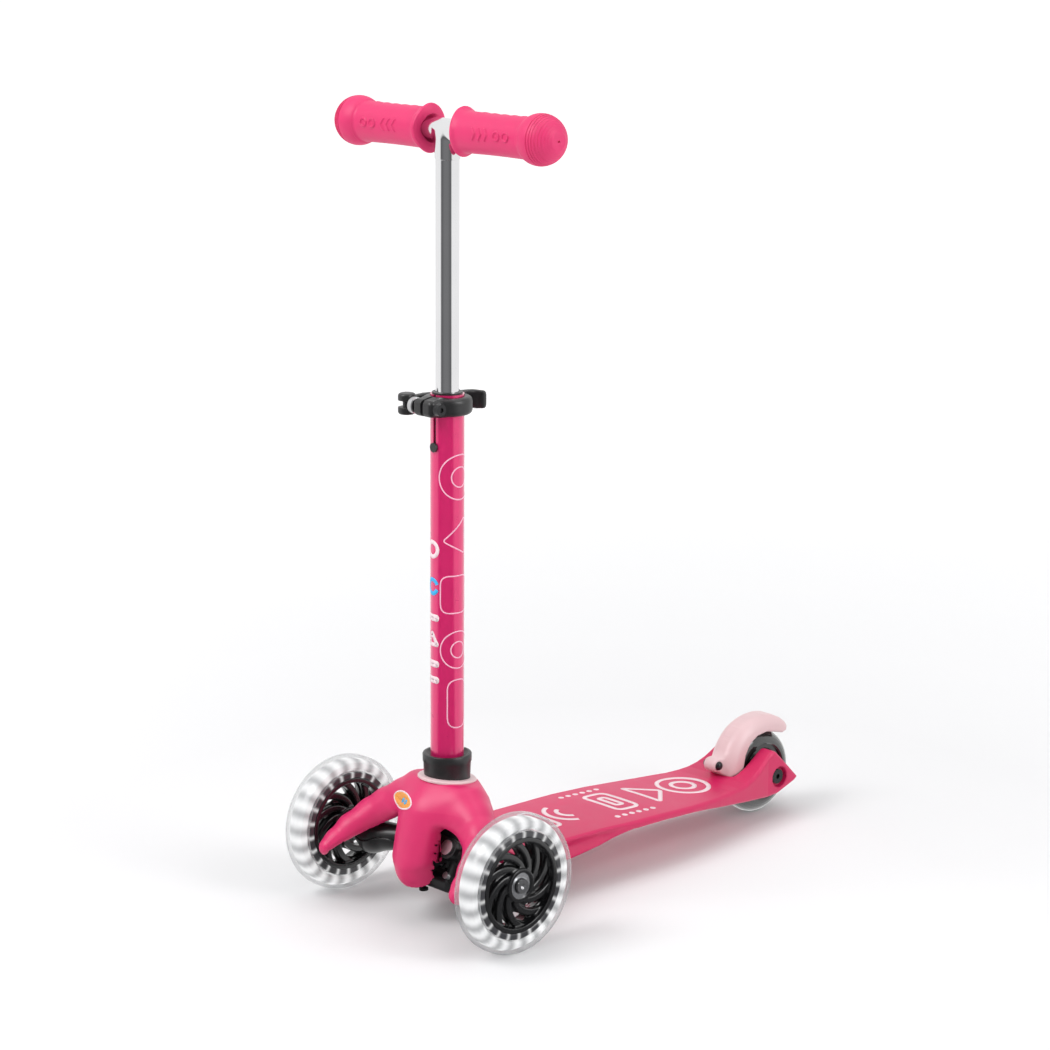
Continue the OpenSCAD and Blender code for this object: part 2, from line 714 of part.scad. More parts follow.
// ---- Front wheels ----
module front_axle(side) {
    on_front_axle(side) difference() {
        union() {
            translate([0, 0, -40]) cylinder(r = axle_r, h = 40 + hub_face + side_gap + EPS);
            translate([0, 0, hub_face + side_gap]) cylinder(r1 = axle_head_r, r2 = axle_head_r - 1, h = axle_head_h);
        }
        translate([0, 0, hub_face + side_gap + 0.8]) cylinder(r = 2.6, h = 5, $fn = 6);
    }
}
module front_axle_left() { color("silver") front_axle(1); }
module front_axle_right() { color("silver") front_axle(-1); }
// One swirl spoke: the part of a thin ring that lies between hub and rim
module swirl_spoke(r) {
    intersection() {
        translate([r * 0.52, r * 0.30]) difference() {
            circle(r = r * 0.62);
            circle(r = r * 0.62 - 3);
        }
        difference() {
            circle(r = r);
            circle(r = hub_r - 1);
        }
        translate([0, -2 * r]) square([2 * r, 2 * r]);
    }
}
module front_core(side) {
    rim_half = front_wheel_w / 2 - 2;
    on_front_axle(side) difference() {
        union() {
            tube(front_core_r, front_core_r - 4, -rim_half, rim_half);
            translate([0, 0, -hub_face]) cylinder(r = hub_r, h = 2 * hub_face);
            translate([0, 0, -2]) linear_extrude(7) {
                for (i = [0:spoke_count - 1]) rotate(i * 360 / spoke_count) swirl_spoke(front_core_r - 2);
            }
        }
        bearing_seats();
    }
}
module bearing_seats() {
    translate([0, 0, spacer_l / 2]) cylinder(r = bearing_r, h = 40);
    translate([0, 0, -spacer_l / 2 - 40]) cylinder(r = bearing_r, h = 40);
    translate([0, 0, -40]) cylinder(r = bearing_r - 2, h = 80);
}
module bearings() {
    for (end = [0, 1]) mirror([0, 0, end]) tube(bearing_r, axle_r + run_gap, spacer_l / 2, hub_face);
}
module spacer() { tube(axle_r + 2, axle_r + run_gap, -spacer_l / 2, spacer_l / 2); }
// A tyre's outline rounds over from its flat sides to the tread
module tyre(r_out, r_in, w) {
    half = w / 2;
    shoulder = r_out - half;
    rotate_extrude($fn = 96) polygon(concat(
        [[r_in, -half + 1.5], [r_in + 2, -half]],
        [for (a = [-90:15:90]) [shoulder + half * cos(a), half * sin(a)]],
        [[r_in + 2, half], [r_in, half - 1.5]]
    ));
}
module front_core_left() { color("#1c1c1e") front_core(1); }
module front_core_right() { color("#1c1c1e") front_core(-1); }
module led_ring(side) {
    on_front_axle(side) tube(led_ring_r, front_core_r, -front_wheel_w / 2 + 3, front_wheel_w / 2 - 3);
}
module led_ring_left() { color("#8c8c90") led_ring(1); }
module led_ring_right() { color("#8c8c90") led_ring(-1); }
module front_tyre_left() {
    color([0.9, 0.9, 0.92, 0.5]) on_front_axle(1) tyre(front_r, led_ring_r, front_wheel_w);
}
module front_tyre_right() {
    color([0.9, 0.9, 0.92, 0.5]) on_front_axle(-1) tyre(front_r, led_ring_r, front_wheel_w);
}
module front_bearings_left() { color("silver") on_front_axle(1) bearings(); }
module front_bearings_right() { color("silver") on_front_axle(-1) bearings(); }
module front_spacer_left() { color("gray") on_front_axle(1) spacer(); }
module front_spacer_right() { color("gray") on_front_axle(-1) spacer(); }

// ---- Rear wheel ----
module rear_core() {
    rim_half = rear_wheel_w / 2 - 3;
    color("#1c1c1e") on_rear_axle() difference() {
        union() {
            tube(rear_core_r, rear_core_r - 4, -rim_half, rim_half);
            translate([0, 0, -hub_face]) cylinder(r = hub_r, h = 2 * hub_face);
            translate([0, 0, -3]) cylinder(r = rear_core_r - 2, h = 6);
        }
        bearing_seats();
    }
}
module rear_tyre() { color("#505458") on_rear_axle() tyre(rear_r, rear_core_r, rear_wheel_w); }
module rear_bearings() { color("silver") on_rear_axle() bearings(); }
module rear_spacer() { color("gray") on_rear_axle() spacer(); }
module rear_bushes() {
    color("gray") on_rear_axle() for (end = [0, 1]) {
        mirror([0, 0, end]) tube(axle_r + 2, axle_r + run_gap, hub_face + side_gap, fork_gap / 2);
    }
}
module rear_axle() {
    seat = fork_w / 2 - 7;
    color("#303030") on_rear_axle() difference() {
        union() {
            translate([0, 0, -seat - 5]) cylinder(r = axle_r, h = 2 * seat + 5 + EPS);
            translate([0, 0, seat]) cylinder(r = axle_r + 3, h = 4.5);
        }
        translate([0, 0, seat + 2]) cylinder(r = 2.6, h = 5, $fn = 6);
    }
}
module rear_axle_nut() {
    seat = fork_w / 2 - 7;
    color("#303030") on_rear_axle() difference() {
        translate([0, 0, -seat - 5]) cylinder(r = axle_r + 3, h = 5, $fn = 6);
        translate([0, 0, -seat - 6]) cylinder(r = axle_r, h = 8);
    }
}

// ---- Brake ----
module arc_band(r0, r1, a0, a1) {
    n = 20;
    polygon(concat(
        [for (i = [0:n]) let (a = lerp(a0, a1, i / n)) [rear_y + r1 * cos(a), rear_r + r1 * sin(a)]],
        [for (i = [n:-1:0]) let (a = lerp(a0, a1, i / n)) [rear_y + r0 * cos(a), rear_r + r0 * sin(a)]]
    ));
}
module brake_side() {
    arc_band(brake_r - 15, brake_r - EPS, 170, 82);
    arc_band(brake_r - 9, brake_r - EPS, 84, 64);
    translate(brake_axis) circle(r = 6);
    polygon([
        brake_axis + [-6, 0], brake_axis + [0, -6], [rear_y - brake_r + 8, rear_r + 10],
        [rear_y - brake_r + 10, rear_r + 32], brake_axis + [-1, 6]
    ]);
}
module brake() {
    tail = [rear_y + brake_r * cos(64), rear_r + brake_r * sin(64)];
    color("#f0cdd4") at_front() difference() {
        union() {
            across(brake_half) arc_band(brake_r - brake_t, brake_r, 168, 64);
            across(brake_half) polygon([
                tail - [1, 0.3], tail + [10, -7], tail + [13, -11], tail + [11, -13], tail + [7, -9], tail - [2, 2.6]
            ]);
            for (side = [-1, 1]) {
                translate([side * (brake_half - brake_t / 2), 0, 0]) across(brake_t / 2) brake_side();
            }
        }
        translate([-30, brake_axis.x, brake_axis.y]) rotate([0, 90, 0]) cylinder(r = brake_pin_r + run_gap, h = 60);
    }
}
module brake_pad() {
    color("#8a8d90") at_front() across(rear_wheel_w / 2 - 3) arc_band(pad_r, brake_r - brake_t - pad_seat, 100, 72);
}
module brake_pin() {
    color("#202020") at_front() translate([-brake_half - 1.8, brake_axis.x, brake_axis.y]) rotate([0, 90, 0]) {
        cylinder(r = brake_pin_r, h = 2 * brake_half + 3.6);
        cylinder(r = 4, h = 1.6);
        translate([0, 0, 2 * brake_half + 2]) cylinder(r = 4, h = 1.6);
    }
}
module brake_spring() {
    color("gainsboro") at_front() translate([-4.5, brake_axis.x, brake_axis.y]) rotate([0, 90, 0]) {
        coil(4, 0.6, 9, 5);
    }
}

// ---- Column lock ----
module release_button() {
    color("silver") at_front() translate([0, button_y, button_z]) rotate([-90, 0, 0]) {
        cylinder(r = button_r, h = column_y + dome[3][0] + 5 - button_y);
    }
}
module snap_pin() {
    color("gray") at_front() translate([0, 0, button_z]) rotate([-90, 0, 0]) {
        translate([0, 0, column_y + lower_bore_r - 4]) cylinder(r = snap_r, h = button_y - column_y - lower_bore_r + 4);
        translate([0, 0, column_y + lower_bore_r - 4]) cylinder(r = snap_flange_r, h = 2);
    }
}
module release_spring() {
    color("gainsboro") at_front() translate([0, column_y - lower_bore_r + 2, button_z]) rotate([-90, 0, 0]) {
        coil(3, 0.5, 2 * lower_bore_r - 7.5, 6);
    }
}

deck();
head_shell();
chassis();
bottom_cover();
collar();
gasket_ring();
lower_tube();
slot_peg();
tube_bushing();
upper_tube();
tube_plug();
tee_sleeve();
crossbar();
grip_left();
grip_right();
clamp_ring();
clamp_bolt();
clamp_nut();
cam_washer();
clamp_lever();
lever_pin();
arm_left();
arm_right();
kingpin_left();
kingpin_right();
kingpin_bushes_left();
kingpin_bushes_right();
tie_rod();
tie_pin_left();
tie_pin_right();
centering_springs();
front_axle_left();
front_axle_right();
front_core_left();
front_core_right();
led_ring_left();
led_ring_right();
front_tyre_left();
front_tyre_right();
front_bearings_left();
front_bearings_right();
front_spacer_left();
front_spacer_right();
rear_core();
rear_tyre();
rear_bearings();
rear_spacer();
rear_bushes();
rear_axle();
rear_axle_nut();
brake();
brake_pad();
brake_pin();
brake_spring();
release_button();
snap_pin();
release_spring();
deck_screws();
cover_screws();
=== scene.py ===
import json
import math

import bpy
import numpy as np
import openvdb
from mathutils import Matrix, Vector


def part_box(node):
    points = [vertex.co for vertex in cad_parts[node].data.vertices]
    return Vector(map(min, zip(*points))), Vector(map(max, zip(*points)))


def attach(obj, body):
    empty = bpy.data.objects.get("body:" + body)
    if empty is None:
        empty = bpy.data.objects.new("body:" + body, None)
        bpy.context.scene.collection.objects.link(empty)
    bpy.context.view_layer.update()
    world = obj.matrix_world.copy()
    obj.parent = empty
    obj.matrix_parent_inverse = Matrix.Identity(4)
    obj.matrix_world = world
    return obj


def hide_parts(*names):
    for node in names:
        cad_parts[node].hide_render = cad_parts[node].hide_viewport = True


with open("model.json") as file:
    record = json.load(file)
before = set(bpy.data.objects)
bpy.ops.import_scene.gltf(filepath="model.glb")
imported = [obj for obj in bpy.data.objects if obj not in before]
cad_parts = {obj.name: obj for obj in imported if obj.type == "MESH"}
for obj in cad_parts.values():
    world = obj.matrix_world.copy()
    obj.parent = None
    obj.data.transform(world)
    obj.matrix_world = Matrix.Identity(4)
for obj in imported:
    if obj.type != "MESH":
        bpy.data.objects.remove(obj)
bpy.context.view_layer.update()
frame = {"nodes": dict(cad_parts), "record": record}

# ---------------------------------------------------------------- sizes
# Lengths are millimetres: the front axle is at y 0, the floor at z 0, +Z is up,
# the front is at -Y and the rider's left at +X. piece() moves them into the CAD frame.

MM = 0.001
wheel_lo, wheel_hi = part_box("front_tyre_left")
FRONT_Y = (wheel_lo[1] + wheel_hi[1]) / 2 / MM      # of the front axle, in the CAD frame
FRONT_R = (wheel_hi[2] - wheel_lo[2]) / 2 / MM
WHEEL_X = (wheel_lo[0] + wheel_hi[0]) / 2 / MM
WHEEL_W = (wheel_hi[0] - wheel_lo[0]) / MM
light_lo, light_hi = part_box("led_ring_left")
LIGHT_R = (light_hi[2] - light_lo[2]) / 2 / MM
core_lo, core_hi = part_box("front_core_left")
CORE_R = (core_hi[2] - core_lo[2]) / 2 / MM
CORE_W = (core_hi[0] - core_lo[0]) / MM
rear_lo, rear_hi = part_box("rear_tyre")
REAR_Y = (rear_lo[1] + rear_hi[1]) / 2 / MM - FRONT_Y
REAR_R = (rear_hi[2] - rear_lo[2]) / 2 / MM
grip_lo, grip_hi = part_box("grip_left")
GRIP_IN = grip_lo[0] / MM
GRIP_OUT = grip_hi[0] / MM
BAR_Y = (grip_lo[1] + grip_hi[1]) / 2 / MM - FRONT_Y
BAR_Z = (grip_lo[2] + grip_hi[2]) / 2 / MM
KNOB_R = (grip_hi[2] - grip_lo[2]) / 2 / MM
GRIP_R = 17.0
collar_lo, collar_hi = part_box("collar")
COLLAR_R = (collar_hi[0] - collar_lo[0]) / 2 / MM
COLLAR_LOW = collar_lo[2] / MM
COLLAR_HIGH = collar_hi[2] / MM
TUBE_R = 14.3
RAKE = math.radians(0.5)
COLUMN_Y = 24.3             # where the column's axis stands at wheel height
HUB_R = 14.5
KINGPIN = (27.0, 14.0, 62.0)
KINGPIN_LEAN = math.radians(60)
COARSE = 1.0


# ---------------------------------------------------------------- shaping
def smooth_min(a, b, k):
    """The union of two distance fields, with a fillet of about k."""
    h = np.clip(0.5 + 0.5 * (b - a) / k, 0, 1)
    return b + (a - b) * h - k * h * (1 - h)


def smooth_max(a, b, k):
    """The intersection of two distance fields, with an edge rounded by about k."""
    return -smooth_min(-a, -b, k)


def limb(p, a, b, ra, rb):
    """Distance to a rod from a to b whose radius runs from ra to rb."""
    d = [b[i] - a[i] for i in range(3)]
    q = [p[i] - a[i] for i in range(3)]
    t = np.clip(sum(q[i] * d[i] for i in range(3)) / sum(v * v for v in d), 0, 1)
    return np.sqrt(sum((q[i] - t * d[i]) ** 2 for i in range(3))) - (ra + (rb - ra) * t)


def drum(p, a, b, r, k=1.0):
    """Distance to a round bar from a to b with flat ends."""
    length = math.dist(a, b)
    d = [(b[i] - a[i]) / length for i in range(3)]
    q = [p[i] - (a[i] + b[i]) / 2 for i in range(3)]
    t = sum(q[i] * d[i] for i in range(3))
    across = np.sqrt(np.maximum(sum(v * v for v in q) - t * t, 0))
    return smooth_max(across - r, np.abs(t) - length / 2, k)


def slab(p, centre, half, r):
    """Distance to a block with rounded edges."""
    q = [np.abs(p[i] - centre[i]) - (half[i] - r) for i in range(3)]
    out = np.sqrt(sum(np.maximum(v, 0) ** 2 for v in q))
    return out + np.minimum(np.maximum(np.maximum(q[0], q[1]), q[2]), 0) - r


def outline(u, v, points):
    """Signed distance in a plane to a closed outline, negative inside."""
    best = np.full(u.shape, 1e9, np.float32)
    inside = np.zeros(u.shape, bool)
    for (ax, ay), (bx, by) in zip(points, points[1:] + points[:1]):
        ex, ey = bx - ax, by - ay
        wx, wy = u - ax, v - ay
        t = np.clip((wx * ex + wy * ey) / (ex * ex + ey * ey), 0, 1)
        best = np.minimum(best, (wx - t * ex) ** 2 + (wy - t * ey) ** 2)
        if ey:
            inside ^= ((ay > v) != (by > v)) & (u < ex * (v - ay) / ey + ax)
    best = np.sqrt(best)
    return np.where(inside, -best, best)


def on_column(x, y, z):
    """A point given along the column's own axis, in the frame of the front axle."""
    s, c = math.sin(RAKE), math.cos(RAKE)
    foot = COLUMN_Y - FRONT_R * math.tan(RAKE)
    return x, foot + y * c + z * s, -y * s + z * c


def plain(x, y, z):
    return x, y, z


def piece(name, points, faces, normals, material, body, nodes, place=plain):
    """Makes a mesh from millimetre points, sets it in the CAD frame under its body's empty and
    hides the CAD nodes it replaces.

    place may mirror the points, and then the faces are turned over.
    """
    xyz = np.stack(place(*[np.asarray(points, np.float64)[:, i] for i in range(3)]), axis=1)
    corner = np.stack(place(*np.vstack([np.zeros(3), np.eye(3)]).T), axis=1)
    if np.linalg.det(corner[1:] - corner[0]) < 0:
        faces = [list(f)[::-1] for f in faces]
    mesh = bpy.data.meshes.new(name)
    mesh.from_pydata(((xyz + (0, FRONT_Y, 0)) * MM).tolist(), [], faces)
    mesh.update()
    for polygon in mesh.polygons:
        polygon.use_smooth = True
    if normals is not None:
        ends = np.stack(place(*[(points[:, i] + normals[:, i]) for i in range(3)]), axis=1)
        mesh.normals_split_custom_set_from_vertices([tuple(n) for n in ends - xyz])
    mesh.materials.append(material)
    o = bpy.data.objects.new(name, mesh)
    bpy.context.scene.collection.objects.link(o)
    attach(o, body)
    if nodes:
        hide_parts(*nodes)
    return o


def sculpt(name, field, low, high, step, material, body, nodes, place=plain):
    """Makes a piece from a distance field, with its vertices drawn onto the surface."""
    step = step * COARSE
    axes = [np.arange(a, b + step, step, dtype=np.float32) for a, b in zip(low, high)]
    values = field(*np.meshgrid(*axes, indexing="ij")).astype(np.float32)
    grid = openvdb.FloatGrid(float(values.max()))
    grid.copyFromArray(np.ascontiguousarray(values))
    points, quads = grid.convertToQuads()
    points = np.asarray(points, np.float64) * step + [float(a[0]) for a in axes]

    def slope(p):
        e = 0.05
        return np.stack([
            (field(*(p + d).T) - field(*(p - d).T)) / (2 * e) for d in np.eye(3) * e
        ], axis=1)

    for _ in range(3):
        g = slope(points)
        size = np.maximum((g * g).sum(axis=1), 0.05)
        move = -g * (field(*points.T) / size)[:, None]
        points += np.clip(move, -step, step)
    g = slope(points)
    normals = g / np.maximum(np.linalg.norm(g, axis=1), 1e-6)[:, None]
    quads = np.asarray(quads)
    a, b, c = points[quads[:, 0]], points[quads[:, 1]], points[quads[:, 2]]
    facing = (np.cross(b - a, c - a) * normals[quads[:, 0]]).sum(axis=1)
    if np.median(facing) < 0:
        quads = quads[:, ::-1]
    return piece(name, points, quads.tolist(), normals, material, body, nodes, place)


def lathe(name, profile, material, body, nodes, axis="z", centre=(0, 0, 0), turns=128,
          swell=None, warp=None, place=plain, flip=False):
    """Turns a closed profile of (along, radius) pairs about an axis.

    swell(along, angle) and warp(along, angle) add to the radius and to the place
    along the axis.
    """
    angle = np.linspace(0, 2 * math.pi, turns, endpoint=False)
    along = np.repeat([q[0] for q in profile], turns)
    radius = np.repeat([q[1] for q in profile], turns)
    turn = np.tile(angle, len(profile))
    if swell:
        radius = radius + swell(along, turn)
    if warp:
        along = along + warp(along, turn)
    u, v = radius * np.cos(turn), radius * np.sin(turn)
    side = -1 if flip else 1
    if axis == "x":
        points = np.stack([side * along + centre[0], u + centre[1], v + centre[2]], axis=1)
    else:
        points = np.stack([u + centre[0], v + centre[1], along + centre[2]], axis=1)
    faces = []
    rows = len(profile)
    for i in range(rows):
        j = (i + 1) % rows
        for k in range(turns):
            m = (k + 1) % turns
            faces.append([i * turns + k, i * turns + m, j * turns + m, j * turns + k])
    o = piece(name, points, faces, None, material, body, nodes, place)
    bevel_shading(o)
    return o


def bevel_shading(o, degrees=32):
    """Keeps hard edges crisp and the rest smooth."""
    mesh = o.data
    mesh.update()
    for e in mesh.edges:
        e.use_edge_sharp = False
    faces_of = {}
    for polygon in mesh.polygons:
        for key in polygon.edge_keys:
            faces_of.setdefault(key, []).append(polygon.normal.copy())
    limit = math.cos(math.radians(degrees))
    for e in mesh.edges:
        pair = faces_of.get(tuple(sorted(e.vertices)), [])
        if len(pair) == 2 and pair[0].dot(pair[1]) < limit:
            e.use_edge_sharp = True


# ---------------------------------------------------------------- materials
def coat(name, colour, rough=0.45, metal=0.0, grain=900.0, bump=0.03, mottle=0.05, gloss=0.0,
         glow=0.0, shine=0.5):
    """A painted, moulded or metal surface: fine grain, slightly uneven colour and gloss."""
    m = bpy.data.materials.new(name)
    m.use_nodes = True
    nodes, links = m.node_tree.nodes, m.node_tree.links
    surface = nodes["Principled BSDF"]
    surface.inputs["Base Color"].default_value = (*colour, 1)
    surface.inputs["Roughness"].default_value = rough
    surface.inputs["Metallic"].default_value = metal
    surface.inputs["Coat Weight"].default_value = gloss
    surface.inputs["Coat Roughness"].default_value = 0.06
    surface.inputs["Specular IOR Level"].default_value = shine
    where = nodes.new("ShaderNodeTexCoord")
    wide = nodes.new("ShaderNodeTexNoise")
    wide.inputs["Scale"].default_value = grain / 20
    wide.inputs["Detail"].default_value = 4
    links.new(where.outputs["Object"], wide.inputs["Vector"])
    tint = nodes.new("ShaderNodeMix")
    tint.data_type = "RGBA"
    tint.inputs["A"].default_value = (*[c * (1 - mottle) for c in colour], 1)
    tint.inputs["B"].default_value = (*[min(1, c * (1 + mottle)) for c in colour], 1)
    links.new(wide.outputs["Fac"], tint.inputs["Factor"])
    links.new(tint.outputs["Result"], surface.inputs["Base Color"])
    gloss_range = nodes.new("ShaderNodeMapRange")
    gloss_range.inputs["To Min"].default_value = max(0.02, rough - 0.06)
    gloss_range.inputs["To Max"].default_value = rough + 0.06
    links.new(wide.outputs["Fac"], gloss_range.inputs["Value"])
    links.new(gloss_range.outputs["Result"], surface.inputs["Roughness"])
    fine = nodes.new("ShaderNodeTexNoise")
    fine.inputs["Scale"].default_value = grain
    fine.inputs["Detail"].default_value = 3
    links.new(where.outputs["Object"], fine.inputs["Vector"])
    raised = nodes.new("ShaderNodeBump")
    raised.inputs["Strength"].default_value = bump
    raised.inputs["Distance"].default_value = 0.0004
    links.new(fine.outputs["Fac"], raised.inputs["Height"])
    links.new(raised.outputs["Normal"], surface.inputs["Normal"])
    if glow:
        surface.inputs["Emission Color"].default_value = (1, 1, 1, 1)
        surface.inputs["Emission Strength"].default_value = glow
    return m


def clear_skin(name, tint, strength, body_share):
    """Clear cast plastic: seen through face on, glossy and milky at grazing angles."""
    m = coat(name, tint, rough=0.08, grain=300, bump=0.02, mottle=0.02)
    nodes, links = m.node_tree.nodes, m.node_tree.links
    surface = nodes["Principled BSDF"]
    edge = nodes.new("ShaderNodeLayerWeight")
    edge.inputs["Blend"].default_value = strength
    share = nodes.new("ShaderNodeMapRange")
    share.inputs["To Min"].default_value = body_share
    share.inputs["To Max"].default_value = 0.85
    links.new(edge.outputs["Facing"], share.inputs["Value"])
    links.new(share.outputs["Result"], surface.inputs["Alpha"])
    return m


def lamp_band(name, colour, count, low, high, sharp, centre):
    """A band that shines through in count soft spots round a wheel."""
    m = coat(name, colour, rough=0.2, grain=400, bump=0.01, mottle=0.02)
    nodes, links = m.node_tree.nodes, m.node_tree.links
    surface = nodes["Principled BSDF"]
    where = nodes.new("ShaderNodeTexCoord")
    shift = nodes.new("ShaderNodeVectorMath")
    shift.operation = "SUBTRACT"
    shift.inputs[1].default_value = centre
    links.new(where.outputs["Object"], shift.inputs[0])
    parts = nodes.new("ShaderNodeSeparateXYZ")
    links.new(shift.outputs["Vector"], parts.inputs["Vector"])
    angle = nodes.new("ShaderNodeMath")
    angle.operation = "ARCTAN2"
    links.new(parts.outputs["Z"], angle.inputs[0])
    links.new(parts.outputs["Y"], angle.inputs[1])
    many = nodes.new("ShaderNodeMath")
    many.operation = "MULTIPLY"
    many.inputs[1].default_value = count
    links.new(angle.outputs["Value"], many.inputs[0])
    wave = nodes.new("ShaderNodeMath")
    wave.operation = "SINE"
    links.new(many.outputs["Value"], wave.inputs[0])
    half = nodes.new("ShaderNodeMapRange")
    half.inputs["From Min"].default_value = -1
    half.inputs["From Max"].default_value = 1
    links.new(wave.outputs["Value"], half.inputs["Value"])
    peak = nodes.new("ShaderNodeMath")
    peak.operation = "POWER"
    peak.inputs[1].default_value = sharp
    links.new(half.outputs["Result"], peak.inputs[0])
    level = nodes.new("ShaderNodeMapRange")
    level.inputs["To Min"].default_value = low
    level.inputs["To Max"].default_value = high
    links.new(peak.outputs["Value"], level.inputs["Value"])
    surface.inputs["Emission Color"].default_value = (1, 1, 1, 1)
    links.new(level.outputs["Result"], surface.inputs["Emission Strength"])
    return m


PINK = (0.68, 0.020, 0.135)
DEEP_PINK = (0.60, 0.010, 0.10)
MATERIAL = {
    "deck_plastic": coat("deck_pink", DEEP_PINK, 0.42, grain=1400, bump=0.12),
    "shell_plastic": coat("shell_pink", PINK, 0.42, grain=1400, bump=0.10),
    "grip_rubber": coat("grip_pink", PINK, 0.5, grain=1800, bump=0.15),
    "pink_tube": coat("tube_pink", (0.72, 0.006, 0.14), 0.30, metal=0.25, grain=2600, bump=0.03,
                      gloss=1.0),
    "silver_tube": coat("tube_silver", (0.80, 0.80, 0.81), 0.10, metal=1.0, grain=500, bump=0.02),
    "black_plastic": coat("black_satin", (0.017, 0.017, 0.018), 0.36, grain=1500, bump=0.10),
    "arm_plastic": coat("black_arm", (0.013, 0.013, 0.014), 0.32, grain=1200, bump=0.08),
    "core_plastic": coat("black_core", (0.010, 0.010, 0.011), 0.22, grain=700, bump=0.04,
                         gloss=0.4),
    "pale_plastic": coat("pale_pink", (0.74, 0.52, 0.54), 0.32, grain=1100, bump=0.05),
    "bush_plastic": coat("bush_natural", (0.6, 0.57, 0.45), 0.5, grain=900, bump=0.08),
    "black_steel": coat("black_steel", (0.03, 0.03, 0.032), 0.28, metal=0.7, grain=1200, bump=0.05),
    "steel": coat("steel", (0.55, 0.55, 0.56), 0.30, metal=1.0, grain=1500, bump=0.06),
    "bolt_steel": coat("bolt_bright", (0.62, 0.62, 0.63), 0.14, metal=1.0, grain=900, bump=0.03),
    "bearing_steel": coat("bearing_bright", (0.74, 0.75, 0.77), 0.24, metal=1.0, grain=1300,
                          bump=0.05),
    "spring_steel": coat("spring_wire", (0.42, 0.42, 0.44), 0.34, metal=1.0, grain=1500, bump=0.05),
    "light_ring": coat("smoke_ring", (0.035, 0.035, 0.038), 0.16, grain=600, bump=0.03, gloss=0.6),
    "clear_tyre": clear_skin("clear_tyre", (0.50, 0.51, 0.52), 0.30, 0.06),
    "rear_tyre": coat("smoke_tyre", (0.022, 0.024, 0.024), 0.10, grain=500, bump=0.03, gloss=1.0),
}
PRINT_PINK = coat("print_pale", (0.88, 0.70, 0.74), 0.4, grain=1500, bump=0.05)
PRINT_LINE = coat("print_line", (0.90, 0.45, 0.60), 0.35, grain=1500, bump=0.05)
PRINT_BLUE = coat("print_blue", (0.03, 0.42, 0.80), 0.4, grain=1500, bump=0.05)
BADGE = coat("badge_orange", (0.90, 0.36, 0.06), 0.35, grain=1500, bump=0.05)

for part in frame["record"]["subparts"]:
    node = frame["nodes"][part["node"]]
    node.data.materials.clear()
    node.data.materials.append(MATERIAL[part["material_slot"]])

# ---------------------------------------------------------------- head shell
NECK_Z = 119.0
NECK_TILT = 0.11             # the neck falls this much to the rear
NOSE_HALF = 21.5
BLEND = 22                   # of the wings into the body
ARCH_SIDE = [20, 50, 62, 72, 80, 86, 92]     # the arch over each arm: how far out, and how high
ARCH_TOP = [92, 73.5, 66, 57, 47.5, 41, 37]
SHELL_WALL = 2.6
DOME = [(40, 47), (58, 46), (75, 43), (91, 39), (101.6, 35.5), (111, 30), (NECK_Z, 25), (130, 17)]
WING = [((30, 19, 103), 16), ((44, 15, 94.5), 15.5), ((58, 9, 85), 15.5), ((69, 0, 76), 14.5),
        ((77.5, -17, 65), 12.8), ((81.5, -31, 56.5), 9.8), ((83, -39, 52), 8)]
# The hollow is the inner form moved back and down by each of these.
SWEEP = [(0, 0), (2, -4), (4, -9), (6, -14), (9, -20), (12, -27), (14, -35), (16, -44)]


def wing_field(x, y, z, less=0.0):
    wing = None
    for (a, ra), (b, rb) in zip(WING, WING[1:]):
        part = limb((np.abs(x), y, z), a, b, ra - less, rb - less)
        wing = part if wing is None else smooth_min(wing, part, 4)
    return wing


def body_field(x, y, z, less=0.0):
    side = np.abs(x)
    radius = np.interp(z, [q[0] for q in DOME], [q[1] for q in DOME])
    dome = (np.hypot(x, y - COLUMN_Y - 0.5) - radius) * 0.85 + less
    gap = slab((side, y, z), (66, -12, 58), (46, 54, 36), 14)
    dome = smooth_max(dome, -(gap - less), 7)
    dome = smooth_max(dome, 59 - z, 3)
    nose = limb((x, y, z), (0, 5, 90), (0, -7, 28 + NOSE_HALF), 23.5 - less, NOSE_HALF - less)
    return smooth_min(dome, nose, 14)


def shell_field(x, y, z):
    side = np.abs(x)
    outer = smooth_min(body_field(x, y, z), wing_field(x, y, z), BLEND)
    edge = np.interp(side, ARCH_SIDE, ARCH_TOP)
    arch = smooth_max(smooth_max((z - edge) * 0.85, 23 - side, 9), y - 36, 6)
    outer = smooth_max(outer, -arch, 4)
    top = z - (NECK_Z + 1.3 - NECK_TILT * (y - COLUMN_Y))
    outer = smooth_max(outer, top, 2)
    hollow = None
    for back, down in SWEEP:
        part = smooth_min(body_field(x, y - back, z - down, SHELL_WALL),
                          wing_field(x, y - back, z - down, SHELL_WALL), 10)
        hollow = part if hollow is None else np.minimum(hollow, part)
    hollow = smooth_max(hollow, z - NECK_Z + 6, 2)
    d = smooth_max(outer, -hollow, 1)
    sl, cl = math.sin(KINGPIN_LEAN), math.cos(KINGPIN_LEAN)
    a = (KINGPIN[0], KINGPIN[1] + 12 * sl, KINGPIN[2] - 12 * cl)
    b = (KINGPIN[0], KINGPIN[1] - 12 * sl, KINGPIN[2] + 12 * cl)
    d = smooth_max(d, -drum((side, y, z), a, b, 9.4), 0.6)
    behind = smooth_max(1 - y, z - 57, 1)
    d = smooth_max(d, -behind, 0.6)
    bore = np.hypot(x, y - COLUMN_Y) - 19.5
    return smooth_max(d, -smooth_max(bore, 100 - z, 1), 1)


sculpt("head_shell_skin", shell_field, (-96, -50, 22), (96, 76, 126), 1.15,
       MATERIAL["shell_plastic"], "frame", ["head_shell"])

